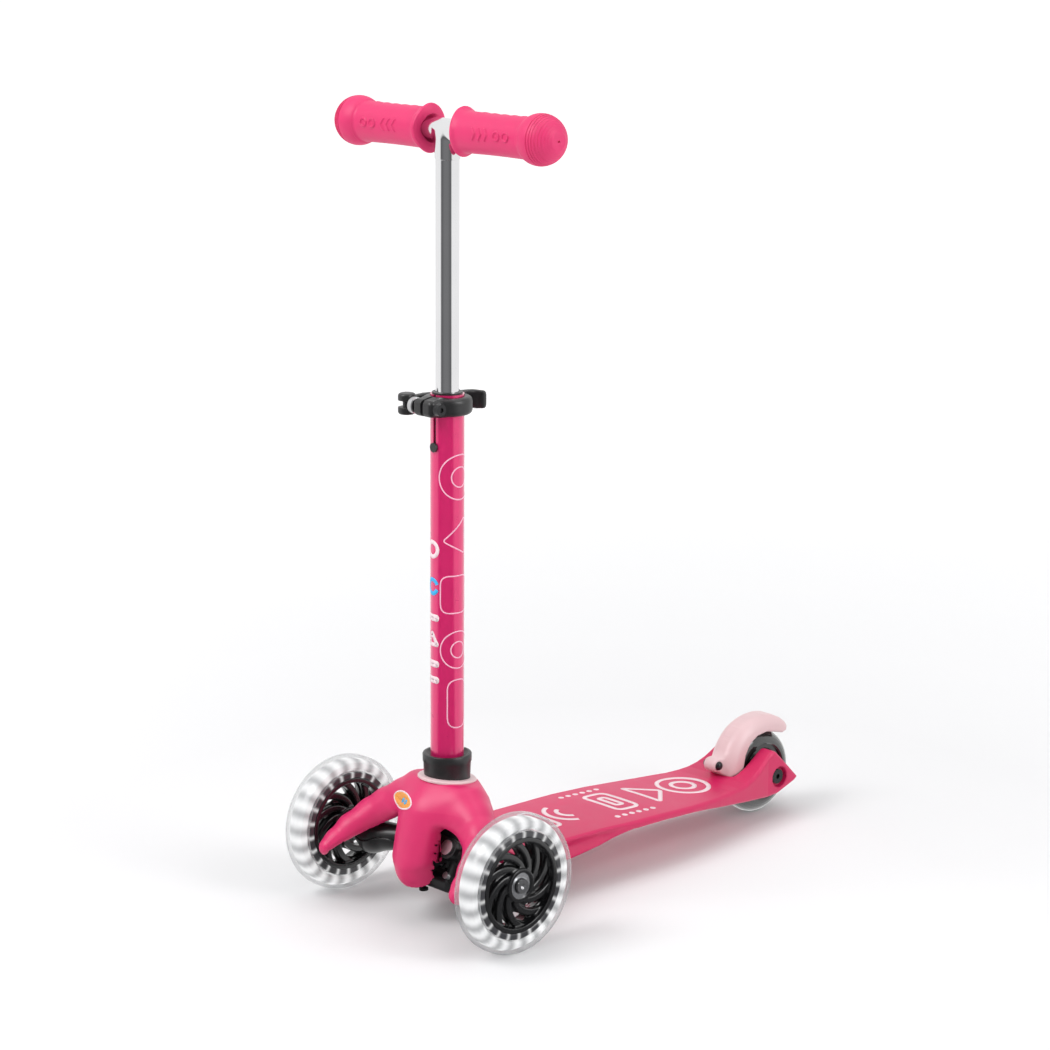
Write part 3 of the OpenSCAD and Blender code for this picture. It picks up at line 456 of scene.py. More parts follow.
# ---------------------------------------------------------------- deck
SECTION = {  # distance behind the front axle: half width and top
    56: (50, 57.5), 80: (50.5, 57), 120: (52, 56), 160: (53, 55), 180: (54.3, 54.4),
    200: (54.5, 53.4), 240: (53.4, 51.2), 280: (51.2, 48), 300: (49, 46.7), 320: (46.3, 45.5),
    340: (42.8, 44.6), 360: (39.7, 44.5), 380: (36.4, 46), 400: (33, 50), 420: (33, 50),
    460: (33, 50),
}
WAY = sorted(SECTION)
PROFILE = [(56, 57.5), (80, 57), (120, 56), (160, 55), (200, 53.4), (240, 51.2), (280, 48),
           (300, 46.7),
           (320, 45.5), (338, 44.6), (352, 44.8), (364, 45.9), (375, 48.6), (385, 53), (394, 58.6),
           (401.5, 63.8),
           (407, 66.8), (411.5, 65.6), (442.5, 35), (438, 31.5), (414, 23.6), (400, 23),
           (380, 25.8), (360, 28.6),
           (340, 31.6), (320, 35), (300, 38.5), (280, 41), (240, 44), (200, 45.5), (180, 43),
           (160, 39.5),
           (120, 35.5), (80, 34), (56, 34)]
FORK_HALF = 16.6


def deck_crown(x):
    """How far the deck's top stands above its edges' level."""
    return 0.8 - 1.6 * (x / 52) ** 2


def deck_top(y):
    return np.interp(y, WAY, [SECTION[k][1] for k in WAY])


def deck_field(x, y, z):
    side = np.abs(x)
    half = np.interp(y, WAY, [SECTION[k][0] for k in WAY])
    cove = 4.2 * np.exp(-((z - 46) / 5.5) ** 2) * np.clip((205 - y) / 40, 0, 1)
    crown = deck_crown(side) * np.clip((350 - y) / 40, 0, 1)
    d = smooth_max(side - half + cove, outline(y, z - crown, PROFILE), 4.0)
    hollow = smooth_max(side - half + 6, z - deck_top(y) + 4.6, 2)
    hollow = smooth_max(hollow, np.abs(y - 206) - 140, 2)
    rib = np.minimum(np.abs((y - 66) % 28 - 14) - 1.4, np.abs((side + 9) % 18 - 9) - 1.3)
    hollow = smooth_max(hollow, -rib, 1)
    d = smooth_max(d, -hollow, 1)
    slot = slab((x, y, z), (0, 430, 45), (FORK_HALF, 62, 60), 5)
    d = smooth_max(d, -slot, 1.2)
    recess = drum((side, y, z), (27.5, REAR_Y, REAR_R), (50, REAR_Y, REAR_R), 9.8, 1)
    return smooth_max(d, -recess, 1)


sculpt("deck_skin", deck_field, (-58, 50, 19), (58, 446, 72), 1.3,
       MATERIAL["deck_plastic"], "frame", ["deck"])

# ---------------------------------------------------------------- brake
FENDER = [(363, 50), (364, 56), (367, 64.5), (373, 74.8), (382, 84), (392.5, 90.8), (405, 94.6),
          (419, 95.4),
          (431, 93), (439, 89), (444.5, 84), (446.5, 79.5)]
FENDER_LOW = [(445, 75.5), (440, 74), (431, 76.5), (418, 79.5), (405, 78), (395, 72.5), (389, 63),
              (386, 50),
              (380, 46), (368, 45.5)]
FENDER_ROUND = 12.5
PIN = (359, 57.5)           # the brake's hinge
LUG_HALF = 7
FENDER_HALF = 15.6


def brake_field(x, y, z):
    side = np.abs(x)
    sweep = np.arctan2(z - REAR_R, REAR_Y - y)
    ribs = 0.5 * np.maximum(np.sin(sweep * 62), 0) * np.clip((9 - side) / 1.5, 0, 1)
    ribs = ribs * np.clip((sweep - 0.55) * 6, 0, 1) * np.clip((1.35 - sweep) * 6, 0, 1)
    blade = outline(y, z, FENDER + FENDER_LOW) - ribs
    d = smooth_max(blade, side - FENDER_HALF, 4)
    crest = np.interp(sweep, [0, 0.5, 1.0, 1.6, 2.2], [52, 54, 55.5, 55.4, 57])
    rim = np.hypot(y - REAR_Y, z - REAR_R) - crest
    bend = np.hypot(np.maximum(rim + FENDER_ROUND, 0),
                    np.maximum(side - FENDER_HALF + FENDER_ROUND, 0))
    d = smooth_max(d, bend - FENDER_ROUND, 1)
    inner = [(y0 + (REAR_Y - y0) * 0.055, z0 + (REAR_R - z0) * 0.055) for y0, z0 in FENDER[:-1]]
    core = outline(y, z, inner + [(452, 60), (REAR_Y, REAR_R), (366, 40)])
    core = smooth_max(core, side - FENDER_HALF + 2.6, 5)
    core = smooth_max(core, bend - FENDER_ROUND + 2.8, 2)
    d = smooth_max(d, -core, 0.8)
    lug = limb((x * 0, y, z), (0, *PIN), (0, 370, 56), 6.4, 8.5)
    lug = smooth_max(lug, side - LUG_HALF, 3)
    return smooth_min(d, lug, 5)


sculpt("brake_fender", brake_field, (-18, 340, 42), (18, 460, 99), 0.9,
       MATERIAL["pale_plastic"], "brake", ["brake"])
HEAD = LUG_HALF + 3.2
lathe("brake_pin_turned", [(-HEAD, 0.1), (-HEAD, 1.6), (-HEAD + 0.9, 3.3), (-HEAD + 2.4, 4.2),
                           (-LUG_HALF, 4.2),
                           (-LUG_HALF, 2.5), (LUG_HALF, 2.5), (LUG_HALF, 4.2), (HEAD - 2.4, 4.2),
                           (HEAD - 0.9, 3.3),
                           (HEAD, 1.6), (HEAD, 0.1)],
      MATERIAL["black_steel"], "frame", ["brake_pin"], axis="x", centre=(0, *PIN),
      turns=32)
lathe("brake_spring_wound", [(-5 + 0.2 * k, 3.4 + (0.9 if k % 8 < 4 else 0.2)) for k in range(51)]
      + [(5, 3.2), (-5, 3.2)],
      MATERIAL["spring_steel"], "frame", ["brake_spring"], axis="x",
      centre=(0, *PIN), turns=32)

# ---------------------------------------------------------------- collar and gasket
BORE = TUBE_R + 0.1
lathe("collar_ring", [
    (COLLAR_LOW - 3, BORE), (COLLAR_LOW - 3, COLLAR_R - 1.2), (COLLAR_LOW + 2, COLLAR_R - 1.2),
    (COLLAR_HIGH - 8, COLLAR_R - 0.6), (COLLAR_HIGH - 7, COLLAR_R - 0.1),
    (COLLAR_HIGH - 1.2, COLLAR_R),
    (COLLAR_HIGH - 0.3, COLLAR_R - 0.5), (COLLAR_HIGH, COLLAR_R - 1.2),
    (COLLAR_HIGH, COLLAR_R - 2.6),
    (COLLAR_HIGH - 2.4, BORE + 1.2), (COLLAR_HIGH - 2.6, BORE)],
    MATERIAL["black_plastic"], "frame", ["collar"], place=on_column)


def tilted(x, y, z):
    """On the column, and tilted as the shell's neck is."""
    x, y, z = on_column(x, y, z)
    return x, y, z - NECK_TILT * (y - COLUMN_Y)


lathe("neck_gasket", [
    (NECK_Z + 0.2, TUBE_R + 4), (NECK_Z + 0.2, 24.4), (NECK_Z + 0.8, 25.2), (NECK_Z + 2.0, 25.2),
    (NECK_Z + 2.9, 24.4), (NECK_Z + 3.4, 23.2), (NECK_Z + 3.6, TUBE_R + 4)],
    MATERIAL["pale_plastic"], "frame", ["gasket_ring"], place=tilted)


# ---------------------------------------------------------------- grips
def grip_profile():
    """(along, radius) pairs from the inner end to the outer end and back through the bore."""
    out = [(7.0, 8.3), (1.6, 9.6), (0.3, 12.0), (0.0, 14.6), (0.5, 16.6), (1.6, 17.9), (3.4, 18.4),
           (5.4, 18.2),
           (7.4, 17.5), (9.4, 17.0), (13.0, GRIP_R)]
    knob_x = GRIP_OUT - GRIP_IN - KNOB_R + 0.6
    out += [(float(a), GRIP_R - 0.4 * math.sin((a - 13) / 66 * math.pi))
            for a in np.arange(13.6, 79, 0.6)]
    out += [(79.6, GRIP_R), (81, 17.3), (82.2, 18.4)]
    start = math.degrees(math.acos((knob_x - 82.6) / KNOB_R))
    for k in np.linspace(180 - start, 23, 150):
        step = 0.6 if 26 < k < 84 and (k / 6.8) % 1 > 0.55 else 0
        out.append((knob_x - KNOB_R * math.cos(math.radians(180 - k)),
                    (KNOB_R - step) * math.sin(math.radians(k))))
    tip = out[-1][0]
    out += [(tip + 0.5, 7.6), (tip + 0.6, 7.2), (tip + 0.6, 1.1), (tip - 1.5, 0.9),
            (tip - 1.5, 0.2), (7.0, 0.2)]
    return out


def embossing(u, v):
    """Height of the raised chevrons and rings on a grip, u mm along it and v mm round it."""
    bent = np.abs(v)
    height = np.zeros(u.shape)
    for start in (33.0, 40.0, 47.0):
        stroke = np.abs(u - start + bent * 0.6) - 1.2
        height = np.maximum(height, np.clip(-stroke * 2, 0, 1) * np.clip((5.6 - bent) * 2, 0, 1))
    for start in (58.0, 68.5):
        ring = np.abs(np.hypot(u - start, v) - 3.4) - 1.0
        height = np.maximum(height, np.clip(-ring * 2.5, 0, 1))
    return 0.95 * height


def grip_swell(along, turn):
    """The lobes at the inner end and the raised marks on the body."""
    up = np.abs(np.sin(turn))
    lobe = (KNOB_R - 18.4 - 0.1) * up ** 5 * np.exp(-((along - 2.6) / 2.4) ** 2)
    lobe = np.where((along < 0.4) | (along > 12), 0, lobe)
    front = np.mod(turn - math.radians(176), 2 * math.pi)
    front = np.where(front > math.pi, front - 2 * math.pi, front)
    marks = embossing(along, front * GRIP_R) * (np.abs(along - 50) < 25)
    back = np.mod(turn - math.radians(60), 2 * math.pi)
    back = np.where(back > math.pi, back - 2 * math.pi, back)
    rows = np.maximum(0, np.sin(along * 0.55)) * np.clip(1.2 - np.abs(back) * 2, 0, 1)
    rows = rows * (np.abs(along - 46) < 26)
    return lobe + marks + 0.45 * np.clip(rows * 2.2, 0, 1)


def grip_warp(along, turn):
    """Runs the flange back at the front and the rear, so that its lobes stand forward."""
    return 3.5 * np.cos(turn) ** 2 * np.clip((12 - along) / 12, 0, 1)


for name, flip in (("grip_left", False), ("grip_right", True)):
    lathe(name + "_rubber", grip_profile(), MATERIAL["grip_rubber"], "handlebar", [name],
          axis="x", centre=((-GRIP_IN if flip else GRIP_IN), BAR_Y, BAR_Z),
          turns=220, swell=grip_swell, warp=grip_warp, flip=flip)

# ---------------------------------------------------------------- upper tube, tee and clamp
upper_lo, upper_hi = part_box("upper_tube")
UPPER_R = (upper_hi[0] - upper_lo[0]) / 2 / MM
tee_low = BAR_Z - 24


def tee_field(x, y, z):
    bar = drum((x, y, z), (-22.5, 0, BAR_Z), (22.5, 0, BAR_Z), 9.5, 0.8)
    stem = drum((x, y, z), (0, 0, tee_low), (0, 0, BAR_Z), UPPER_R + 0.7, 1.0)
    stem = np.maximum(stem, z - BAR_Z - 2)
    d = smooth_min(bar, stem, 3)
    return smooth_max(d, -drum((x, y, z), (-30, 0, BAR_Z), (30, 0, BAR_Z), 8.0, 0.3), 0.2)


sculpt("tee_polished", tee_field, (-25, -13, tee_low - 3), (25, 13, BAR_Z + 13), 0.6,
       MATERIAL["silver_tube"], "handlebar", ["tee_sleeve"], place=on_column)
lathe("upper_tube_polished", [(upper_lo[2] / MM, UPPER_R - 1.5), (upper_lo[2] / MM, UPPER_R - 0.4),
                              (upper_lo[2] / MM + 0.4, UPPER_R), (BAR_Z - 10, UPPER_R),
                              (BAR_Z - 10, UPPER_R - 1.5)],
      MATERIAL["silver_tube"], "handlebar", ["upper_tube"], turns=96,
      place=on_column)

ring_lo, ring_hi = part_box("clamp_ring")
RING_R = (ring_hi[0] - ring_lo[0]) / 2 / MM
RING_MID = (ring_lo[2] + ring_hi[2]) / 2 / MM
BOLT_Y = -(TUBE_R + 8)
EAR_HALF = 12
LEVER_X = -24


def ring_field(x, y, z):
    z = z - RING_MID
    ring = smooth_max(np.hypot(x, y) - RING_R, np.abs(z) - 7.6, 5)
    ear = slab((x, y, z), (0, BOLT_Y + 5, 0), (EAR_HALF, 11.5, 7.2), 4.5)
    d = smooth_min(ring, ear, 4)
    d = smooth_max(d, -(np.hypot(x, y) - BORE), 0.5)
    return smooth_max(d, -smooth_max(np.abs(x) - 1.3, y + TUBE_R - 3, 0.3), 0.5)


sculpt("clamp_ring_moulded", ring_field, (-24, -32, RING_MID - 10), (24, 24, RING_MID + 10), 0.7,
       MATERIAL["black_plastic"], "frame", ["clamp_ring"], place=on_column)
lathe("clamp_cam_turned", [(-EAR_HALF - 6, 3), (-EAR_HALF - 6, 6.2), (-EAR_HALF - 5.2, 6.9),
                           (-EAR_HALF - 1, 6.9),
                           (-EAR_HALF - 0.2, 6.2), (-EAR_HALF - 0.2, 3)],
      MATERIAL["steel"], "frame", ["cam_washer"], axis="x",
      centre=(0, BOLT_Y, RING_MID), turns=48,
      place=on_column)
LEVER = [(LEVER_X - 2, BOLT_Y + 3), (-28.5, -12), (-29.5, 0), (-27, 12), (-19, 22), (-9, 30),
         (-3, 35), (2, 38)]


def lever_field(x, y, z):
    z = z - RING_MID
    grip = None
    for (ax, ay), (bx, by) in zip(LEVER, LEVER[1:]):
        part = limb((x, y, z * 0), (ax, ay, 0), (bx, by, 0), 3.2, 3.2)
        grip = part if grip is None else smooth_min(grip, part, 1.5)
    high = np.interp(y, [-24, -10, 20, 34, 39, 42], [6.5, 5.6, 5.8, 8.0, 7.4, 4])
    grip = smooth_max(grip, np.abs(z) - high, 2.5)
    head = drum((x, y, z), (LEVER_X - 1.5, BOLT_Y, -9), (LEVER_X - 1.5, BOLT_Y, 9), 7.4, 3)
    d = smooth_min(grip, head, 4)
    fork = slab((x, y, z), (LEVER_X - 4, BOLT_Y - 3, 0), (13, 9, 2.7), 1)
    d = smooth_max(d, -fork, 0.6)
    d = smooth_max(d, -(np.hypot(x, y) - RING_R - 0.6), 0.6)
    ear = slab((x, y, z), (0, BOLT_Y, 0), (EAR_HALF + 6.3, 14, 20), 1)
    return smooth_max(d, -ear, 0.6)


sculpt("clamp_lever_moulded", lever_field, (-40, -34, RING_MID - 12), (12, 46, RING_MID + 12), 0.8,
       MATERIAL["black_plastic"], "clamp_lever", ["clamp_lever"], place=on_column)


# ---------------------------------------------------------------- steering arms and tray
def arm_field(x, y, z):
    """The left arm: a boss on the kingpin, a beam out to the wheel, a lever to the tie rod."""
    p = (x, y, z)
    beam = limb(p, (42, 12, 59), (73, 4, 55), 10.5, 14.5)
    beam = smooth_min(beam, limb(p, (73, 4, 55), (85, 0, 60), 14.5, 9.5), 5)
    split = np.maximum(np.abs(z - 57 - 2.4 * np.sin((x - 40) / 7)) - 0.5, -(beam + 0.9))
    beam = smooth_max(beam, -split, 0.4)
    beam = smooth_max(beam, x - 92, 1)
    sl, cl = math.sin(KINGPIN_LEAN), math.cos(KINGPIN_LEAN)
    kx, ky, kz = KINGPIN
    boss = drum(p, (kx, ky + 10.5 * sl, kz - 10.5 * cl),
                (kx, ky - 10.5 * sl, kz + 10.5 * cl), 8.4, 1)
    d = smooth_min(beam, boss, 4)
    d = smooth_min(d, limb(p, (kx, ky - 1, kz - 4), (kx, 5, 43), 5.6, 5.4), 3)
    return smooth_max(d, 12 - x, 1)


for side, name in ((1, "left"), (-1, "right")):
    def at_side(x, y, z, side=side):
        return side * x, y, z

    sculpt("arm_skin_" + name, arm_field, (10, -20, 30), (96, 34, 84), 1.0,
           MATERIAL["arm_plastic"], "steering_" + name, ["arm_" + name],
           place=at_side)


def tray_field(x, y, z):
    d = slab((x, y, z), (0, 24, 35), (29, 25, 7), 5)
    d = smooth_max(d, -slab((x, y, z), (0, 26, 41), (26, 21, 9), 4), 1)
    return smooth_max(d, -(np.abs(np.abs(x) - 14) - 0.6 + 3 * np.clip(z - 28.7, 0, 1)), 0.3)


sculpt("tray_moulded", tray_field, (-32, -4, 26), (32, 52, 44), 1.0,
       MATERIAL["black_plastic"], "frame", ["bottom_cover"])

# ---------------------------------------------------------------- front wheels
SPOKES = 10
LAMPS = 22                   # bright spots round a wheel


def core_field(x, y, z):
    """A front wheel's core about its own centre, with its outer face towards +X."""
    r = np.hypot(y, z)
    turn = np.arctan2(z, y)
    rim = smooth_max(np.abs(r - CORE_R + 2.2) - 2.2, np.abs(x) - CORE_W / 2 + 0.2, 0.8)
    hub = smooth_max(r - HUB_R, np.abs(x) - CORE_W / 2 + 0.1, 0.8)
    d = np.minimum(rim, hub)
    twist = turn - 1.15 * (np.maximum(r - HUB_R, 0) / (CORE_R - HUB_R)) ** 0.8
    step = 2 * math.pi / SPOKES
    off = np.abs(np.mod(twist + step / 2, step) - step / 2) * np.maximum(r, 1) * 0.75
    spoke = smooth_max(off - 2.6 - 0.05 * (r - HUB_R), np.abs(x) - 7.4 + 0.06 * (r - HUB_R), 1.6)
    spoke = smooth_max(spoke, r - CORE_R + 1, 0.5)
    d = smooth_min(d, spoke, 2.2)
    web = smooth_max(np.abs(x - 1) - 1.8, r - CORE_R + 1, 0.5)
    hole_turn = np.mod(twist, step) - step / 2
    hole = np.hypot(hole_turn * np.maximum(r, 1) * 0.75, (r - 30.5) * 0.55) - 3.4
    web = smooth_max(web, -hole, 1)
    d = smooth_min(d, web, 1.5)
    seat = smooth_max(r - 11.05, 1.5 - np.abs(x), 0.2)
    bolt = r - 6
    return np.maximum(np.maximum(d, -seat), -bolt)


def tyre_profile(outer, inner, half):
    """A tyre's section: (along, radius) pairs round the rubber."""
    shoulder = 9.0               # how deep the round of the tread is
    out = [(-half + 3.0, inner), (half - 3.0, inner), (half - 1.2, inner + 1.0)]
    for k in np.linspace(-12, 90, 22):
        t = math.radians(k)
        out.append((half * math.cos(t) ** 0.62 if math.cos(t) > 0.001 else 0.0,
                    outer - shoulder + shoulder * math.sin(t)))
    mirrored = [(-a, r) for a, r in reversed(out[2:-1])]
    return out + mirrored


for side, name in ((1, "left"), (-1, "right")):
    centre = (side * WHEEL_X, 0, FRONT_R)
    body = "front_wheel_" + name

    def at_wheel(x, y, z, side=side):
        return side * WHEEL_X + side * x, y, z + FRONT_R

    sculpt("core_" + name, core_field, (-12, -43, -43), (12, 43, 43), 0.9,
           MATERIAL["core_plastic"], body, ["front_core_" + name], place=at_wheel)
    lathe("tyre_" + name, tyre_profile(FRONT_R - 0.02, LIGHT_R + 0.4, WHEEL_W / 2),
          MATERIAL["clear_tyre"], body,
          ["front_tyre_" + name], axis="x", centre=centre, turns=160)
    hub = (side * WHEEL_X * MM, FRONT_Y * MM, FRONT_R * MM)
    band = lamp_band("glow_" + name, (0.22, 0.225, 0.235), LAMPS, 0.26, 0.80, 0.9, hub)
    spots = lamp_band("spots_" + name, (0.04, 0.04, 0.045), LAMPS, 0.01, 0.55, 5.0, hub)
    lathe("glow_band_" + name, [
        (-7.5, 47.5), (7.5, 47.5), (9.0, 50.0), (8.0, 54.0),
        (4.0, 56.4), (-4.0, 56.4), (-8.0, 54.0), (-9.0, 50.0)],
          band, body, [], axis="x", centre=centre, turns=120)
    lathe("smoke_ring_" + name, [
        (-9.2, CORE_R), (9.2, CORE_R), (9.8, CORE_R + 0.8), (9.8, LIGHT_R - 0.8),
        (9.2, LIGHT_R), (-9.2, LIGHT_R), (-9.8, LIGHT_R - 0.8), (-9.8, CORE_R + 0.8)],
          spots, body, ["led_ring_" + name], axis="x", centre=centre, turns=120)

# ---------------------------------------------------------------- marks on the column and deck
def ribbon(points, width, closed=True):
    """A flat stroke along points in a plane: its vertices and its quads."""
    n = len(points)
    verts, faces = [], []
    for i, (x, y) in enumerate(points):
        ax, ay = points[i - 1] if closed or i else points[i]
        bx, by = points[(i + 1) % n] if closed or i < n - 1 else points[i]
        dx, dy = bx - ax, by - ay
        size = math.hypot(dx, dy) or 1
        nx, ny = -dy / size * width / 2, dx / size * width / 2
        verts += [(x + nx, y + ny), (x - nx, y - ny)]
    for i in range(n if closed else n - 1):
        j = (i + 1) % n
        faces.append([2 * i, 2 * j, 2 * j + 1, 2 * i + 1])
    return verts, faces


def circle(cx, cy, r, start=0, stop=360, count=64):
    return [(cx + r * math.cos(math.radians(t)), cy + r * math.sin(math.radians(t)))
            for t in np.linspace(start, stop, count, endpoint=stop - start < 360)]


def filleted(points, r, count=6):
    """The outline with its corners rounded, and with points every few millimetres."""
    out = []
    n = len(points)
    for i in range(n):
        p, a, b = Vector(points[i]), Vector(points[i - 1]), Vector(points[(i + 1) % n])
        ra, rb = (a - p).normalized() * r, (b - p).normalized() * r
        for t in np.linspace(0, 1, count):
            q = p + ra * (1 - t) ** 2 + rb * t ** 2
            out.append((q.x, q.y))
        far = p + rb
        goal = b + (p - b).normalized() * r
        steps = max(1, int((goal - far).length / 3))
        for k in range(1, steps):
            q = far.lerp(goal, k / steps)
            out.append((q.x, q.y))
    return out


def printed(name, strokes, wrap, material, width, thick):
    """Raised strokes laid on a surface. wrap(u, v, height) gives the point."""
    verts, faces = [], []
    for stroke, closed in strokes:
        flat, quads = ribbon(stroke, width, closed)
        base = len(verts)
        verts += [wrap(u, v, thick) for u, v in flat]
        low = len(verts)
        verts += [wrap(u, v, -0.4) for u, v in flat]
        for q in quads:
            faces.append([base + i for i in q])
            faces.append([base + q[0], base + q[1], low + q[1], low + q[0]][::-1])
            faces.append([base + q[3], base + q[2], low + q[2], low + q[3]])
    return piece(name, verts, faces, None, material, "frame", [])


def on_shell(u, v, height):
    """u runs level across the shell's right front and v up it, from above the wing's root."""
    out = Vector((0.02, -0.80, 0.60)).normalized()
    level = Vector((0, 0, 1)).cross(out).normalized()
    level = (level * 0.976 - out.cross(level) * 0.216).normalized()
    p = Vector((-19, -4, 99)) + level * u + out.cross(level) * v + out * 22
    for _ in range(40):
        q = [np.array([c]) for c in p]
        p -= out * float(smooth_min(body_field(*q), wing_field(*q), BLEND)[0]) * 0.8
    return tuple(p + out * height)


def on_tube(u, v, height):
    """u is millimetres round the lower tube from its front towards +X, and v the height."""
    turn = u / TUBE_R
    r = TUBE_R + height
    return on_column(r * math.sin(turn), -r * math.cos(turn), v)


def on_deck(u, v, height):
    return u, v, float(deck_top(v)) + deck_crown(u) + height - 0.1


DECK_MARKS = [
    (circle(0, 318, 24), True), (circle(0, 318, 11), True),
    (filleted([(-25, 262), (25, 262), (0, 288)], 4), True),
    (filleted([(-24, 210), (24, 210), (24, 236), (-24, 236)], 8), True),
    (filleted([(-12, 219), (12, 219), (12, 227), (-12, 227)], 3), True),
    (circle(0, 170, 22, 200, 340, 40), False), (circle(0, 170, 11, 200, 340, 24), False),
    (filleted([(-22, 128), (22, 128), (22, 140), (-22, 140)], 5), True),
]
printed("deck_marks", DECK_MARKS, on_deck, PRINT_PINK, 4.2, 0.35)
DOTS = [(circle(s * 36, y, 1.5, count=20), True) for s in (-1, 1) for y in range(196, 242, 9)]
printed("deck_dots", DOTS, on_deck, PRINT_PINK, 2.4, 0.35)
LINES = [
    (circle(24, 384, 19), True), (circle(24, 384, 8.5), True),
    (filleted([(8, 330), (30, 318), (30, 350)], 3), True),
    (filleted([(6, 268), (34, 268), (34, 300), (6, 300)], 8), True),
    (circle(22, 236, 16), True), (circle(22, 236, 7), True),
    (filleted([(12, 168), (32, 168), (32, 210), (12, 210)], 9), True),
]
printed("column_lines", LINES, on_tube, PRINT_LINE, 1.1, 0.12)
SOLID = [
    (circle(-3, 322, 6.2), True),
    (filleted([(-9, 262), (3, 262), (3, 264.5), (-9, 264.5)], 1), True),
    (filleted([(-9, 240), (3, 240), (-3, 250)], 1), True),
    (filleted([(-9, 222), (3, 222), (3, 224.5), (-9, 224.5)], 1), True),
    (filleted([(-9, 208), (3, 208), (3, 210.5), (-9, 210.5)], 1), True),
]
printed("column_marks", SOLID, on_tube, PRINT_PINK, 3.6, 0.12)
printed("column_blue", [(circle(-3, 290, 6.0, 20, 340, 40), False)], on_tube, PRINT_BLUE, 3.6, 0.12)


def oval(cu, cv, ru, rv, count=40):
    return [(cu + ru * math.cos(t), cv + rv * math.sin(t))
            for t in np.linspace(0, 2 * math.pi, count, False)]


RINGS = [(k + 0.5) / 6 for k in range(6)]
printed("badge_field", [(oval(0, 0, 17.5 * k, 6.0 * k), True) for k in RINGS], on_shell, BADGE,
        2.7, 0.35)
printed("badge_rim", [(oval(0, 0, 18.2, 6.7, 64), True)], on_shell, PRINT_PINK, 1.3, 0.5)
printed("badge_dots", [(circle(u, 0.4, 1.5, count=20), True) for u in (3, 9)], on_shell,
        PRINT_BLUE, 1.5, 0.6)

# ---------------------------------------------------------------- studio
floor_mesh = bpy.data.meshes.new("floor")
floor_mesh.from_pydata([(-40, -40, 0), (40, -40, 0), (40, 40, 0), (-40, 40, 0)], [], [(0, 1, 2, 3)])
floor = bpy.data.objects.new("floor", floor_mesh)
bpy.context.scene.collection.objects.link(floor)
DARK_SIDE = (0.561, -0.825, 0)     # a fixed direction, seen as the dark band in the polished tube
# The floor glows, which is painted light: faint near the scooter so the lamps' shadows show there,
# and strong far off so the far floor reads white.
floor_coat = coat("floor_white", (0.84, 0.84, 0.85), 0.6, grain=3, bump=0, mottle=0.005, glow=1,
                  shine=0.1)


def studio_shade(tree, direction):
    """White all round, except for a dark sector about DARK_SIDE. Only glossy rays see it."""
    nodes, links = tree.nodes, tree.links
    flat = nodes.new("ShaderNodeVectorMath")
    flat.operation = "MULTIPLY"
    flat.inputs[1].default_value = (1, 1, 0)
    links.new(direction, flat.inputs[0])
    unit = nodes.new("ShaderNodeVectorMath")
    unit.operation = "NORMALIZE"
    links.new(flat.outputs["Vector"], unit.inputs[0])
    towards = nodes.new("ShaderNodeVectorMath")
    towards.operation = "DOT_PRODUCT"
    towards.inputs[1].default_value = DARK_SIDE
    links.new(unit.outputs["Vector"], towards.inputs[0])
    shade = nodes.new("ShaderNodeValToRGB")
    low, high = shade.color_ramp.elements
    low.position, low.color = 0.58, (1, 1, 1, 1)
    high.position, high.color = 0.97, (0.20, 0.20, 0.205, 1)
    dark = shade.color_ramp.elements.new(0.72)
    dark.color = (0.11, 0.11, 0.115, 1)
    links.new(towards.outputs["Value"], shade.inputs["Fac"])
    return shade.outputs["Color"]


nodes, links = floor_coat.node_tree.nodes, floor_coat.node_tree.links
where = nodes.new("ShaderNodeTexCoord")
reach = nodes.new("ShaderNodeVectorMath")
reach.operation = "LENGTH"
links.new(where.outputs["Object"], reach.inputs[0])
painted_floor_glow = nodes.new("ShaderNodeMapRange")
painted_floor_glow.inputs["From Min"].default_value = 0.5
painted_floor_glow.inputs["From Max"].default_value = 3.0
painted_floor_glow.inputs["To Min"].default_value = 0.03
painted_floor_glow.inputs["To Max"].default_value = 0.62
links.new(reach.outputs["Value"], painted_floor_glow.inputs["Value"])
links.new(painted_floor_glow.outputs["Result"], nodes["Principled BSDF"].inputs["Emission Strength"])
# Glossy rays see the floor as a glow of the studio shade: a painted reflection, dark towards
# DARK_SIDE.
mirrored = nodes.new("ShaderNodeEmission")
links.new(studio_shade(floor_coat.node_tree, where.outputs["Object"]), mirrored.inputs["Color"])
path = nodes.new("ShaderNodeLightPath")
pick = nodes.new("ShaderNodeMixShader")
links.new(path.outputs["Is Glossy Ray"], pick.inputs["Fac"])
links.new(nodes["Principled BSDF"].outputs["BSDF"], pick.inputs[1])
links.new(mirrored.outputs["Emission"], pick.inputs[2])
links.new(pick.outputs["Shader"], nodes["Material Output"].inputs["Surface"])
floor_mesh.materials.append(floor_coat)


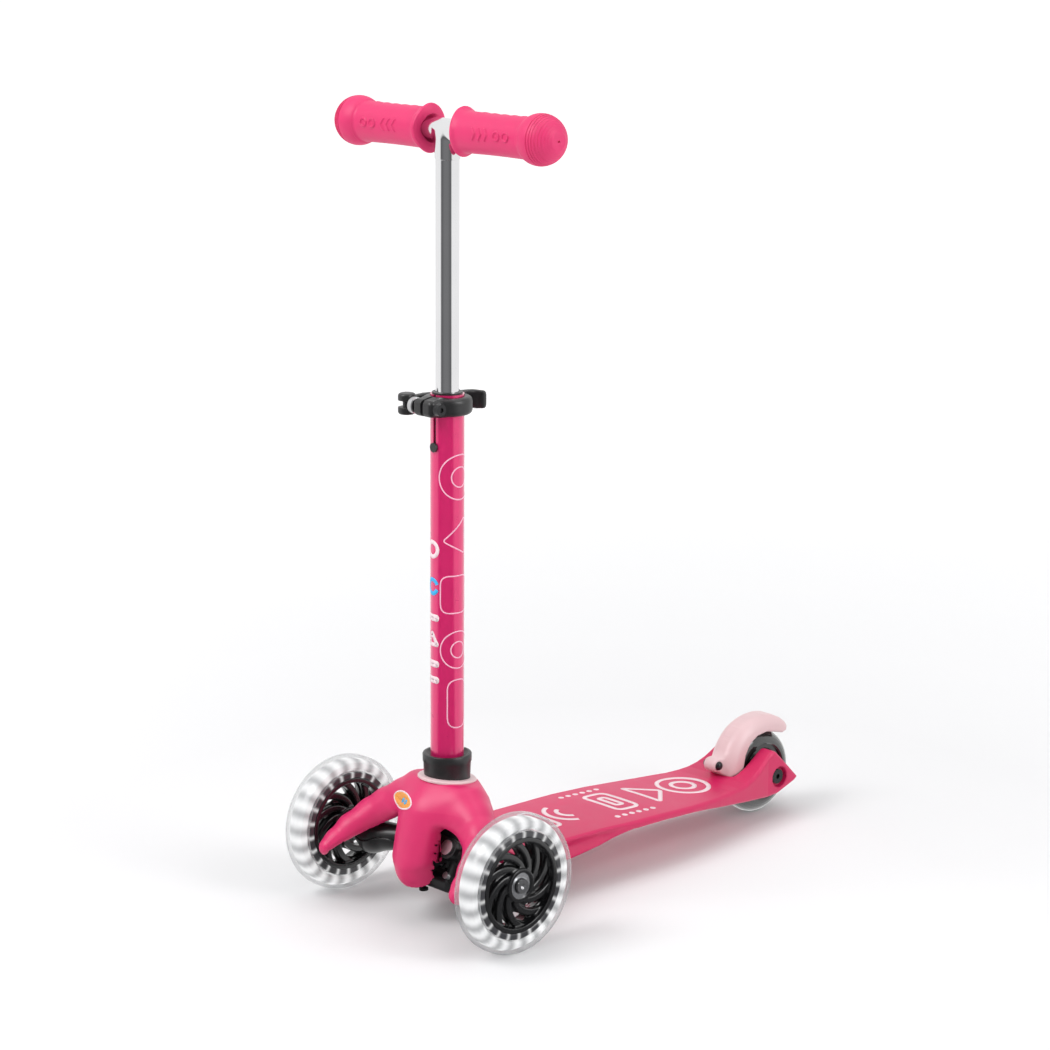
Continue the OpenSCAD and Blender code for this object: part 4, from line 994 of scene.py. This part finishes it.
def lamp(name, where, aim, size, power):
    data = bpy.data.lights.new(name, "AREA")
    data.shape = "RECTANGLE"
    data.size, data.size_y = size
    data.energy = power
    o = bpy.data.objects.new(name, data)
    o.location = where
    o.rotation_euler = (Vector(aim) - Vector(where)).to_track_quat("-Z", "Y").to_euler()
    bpy.context.scene.collection.objects.link(o)


lamp("key", (-0.6, -2.2, 2.6), (0, 0, 0.2), (1.6, 1.6), 58)
lamp("side", (2.4, 0.6, 1.6), (0, 0, 0.3), (1.2, 1.8), 30)
lamp("top", (0, 0.2, 3.0), (0, 0, 0), (2.4, 2.4), 20)

world = bpy.data.worlds.new("studio")
world.use_nodes = True
bpy.context.scene.world = world
nodes, links = world.node_tree.nodes, world.node_tree.links
ground = nodes["Background"]
ground.inputs["Color"].default_value = (1, 1, 1, 1)
ground.inputs["Strength"].default_value = 0.48
where = nodes.new("ShaderNodeTexCoord")
shown = nodes.new("ShaderNodeBackground")
links.new(studio_shade(world.node_tree, where.outputs["Generated"]), shown.inputs["Color"])
seen = nodes.new("ShaderNodeBackground")
seen.inputs["Color"].default_value = (1, 1, 1, 1)
path = nodes.new("ShaderNodeLightPath")
mirror_pick = nodes.new("ShaderNodeMixShader")
links.new(path.outputs["Is Glossy Ray"], mirror_pick.inputs["Fac"])
links.new(ground.outputs["Background"], mirror_pick.inputs[1])
links.new(shown.outputs["Background"], mirror_pick.inputs[2])
pick = nodes.new("ShaderNodeMixShader")
links.new(path.outputs["Is Camera Ray"], pick.inputs["Fac"])
links.new(mirror_pick.outputs["Shader"], pick.inputs[1])
links.new(seen.outputs["Background"], pick.inputs[2])
links.new(pick.outputs["Shader"], nodes["World Output"].inputs["Surface"])
bpy.context.scene.view_settings.view_transform = "Standard"

# The camera stands to the front and left of the scooter and looks down a little.
camera_data = bpy.data.cameras.new("camera")
camera_data.lens = 102.2
camera_data.sensor_width = 36
camera_data.clip_end = 200
camera = bpy.data.objects.new("camera", camera_data)
camera.location = (1.799, -1.7988, 0.9133)
yaw, pitch = math.radians(46.33), math.radians(13.28)
look = Vector((-math.sin(yaw) * math.cos(pitch), math.cos(yaw) * math.cos(pitch), -math.sin(pitch)))
camera.rotation_euler = look.to_track_quat("-Z", "Y").to_euler()
bpy.context.scene.collection.objects.link(camera)
bpy.context.scene.camera = camera
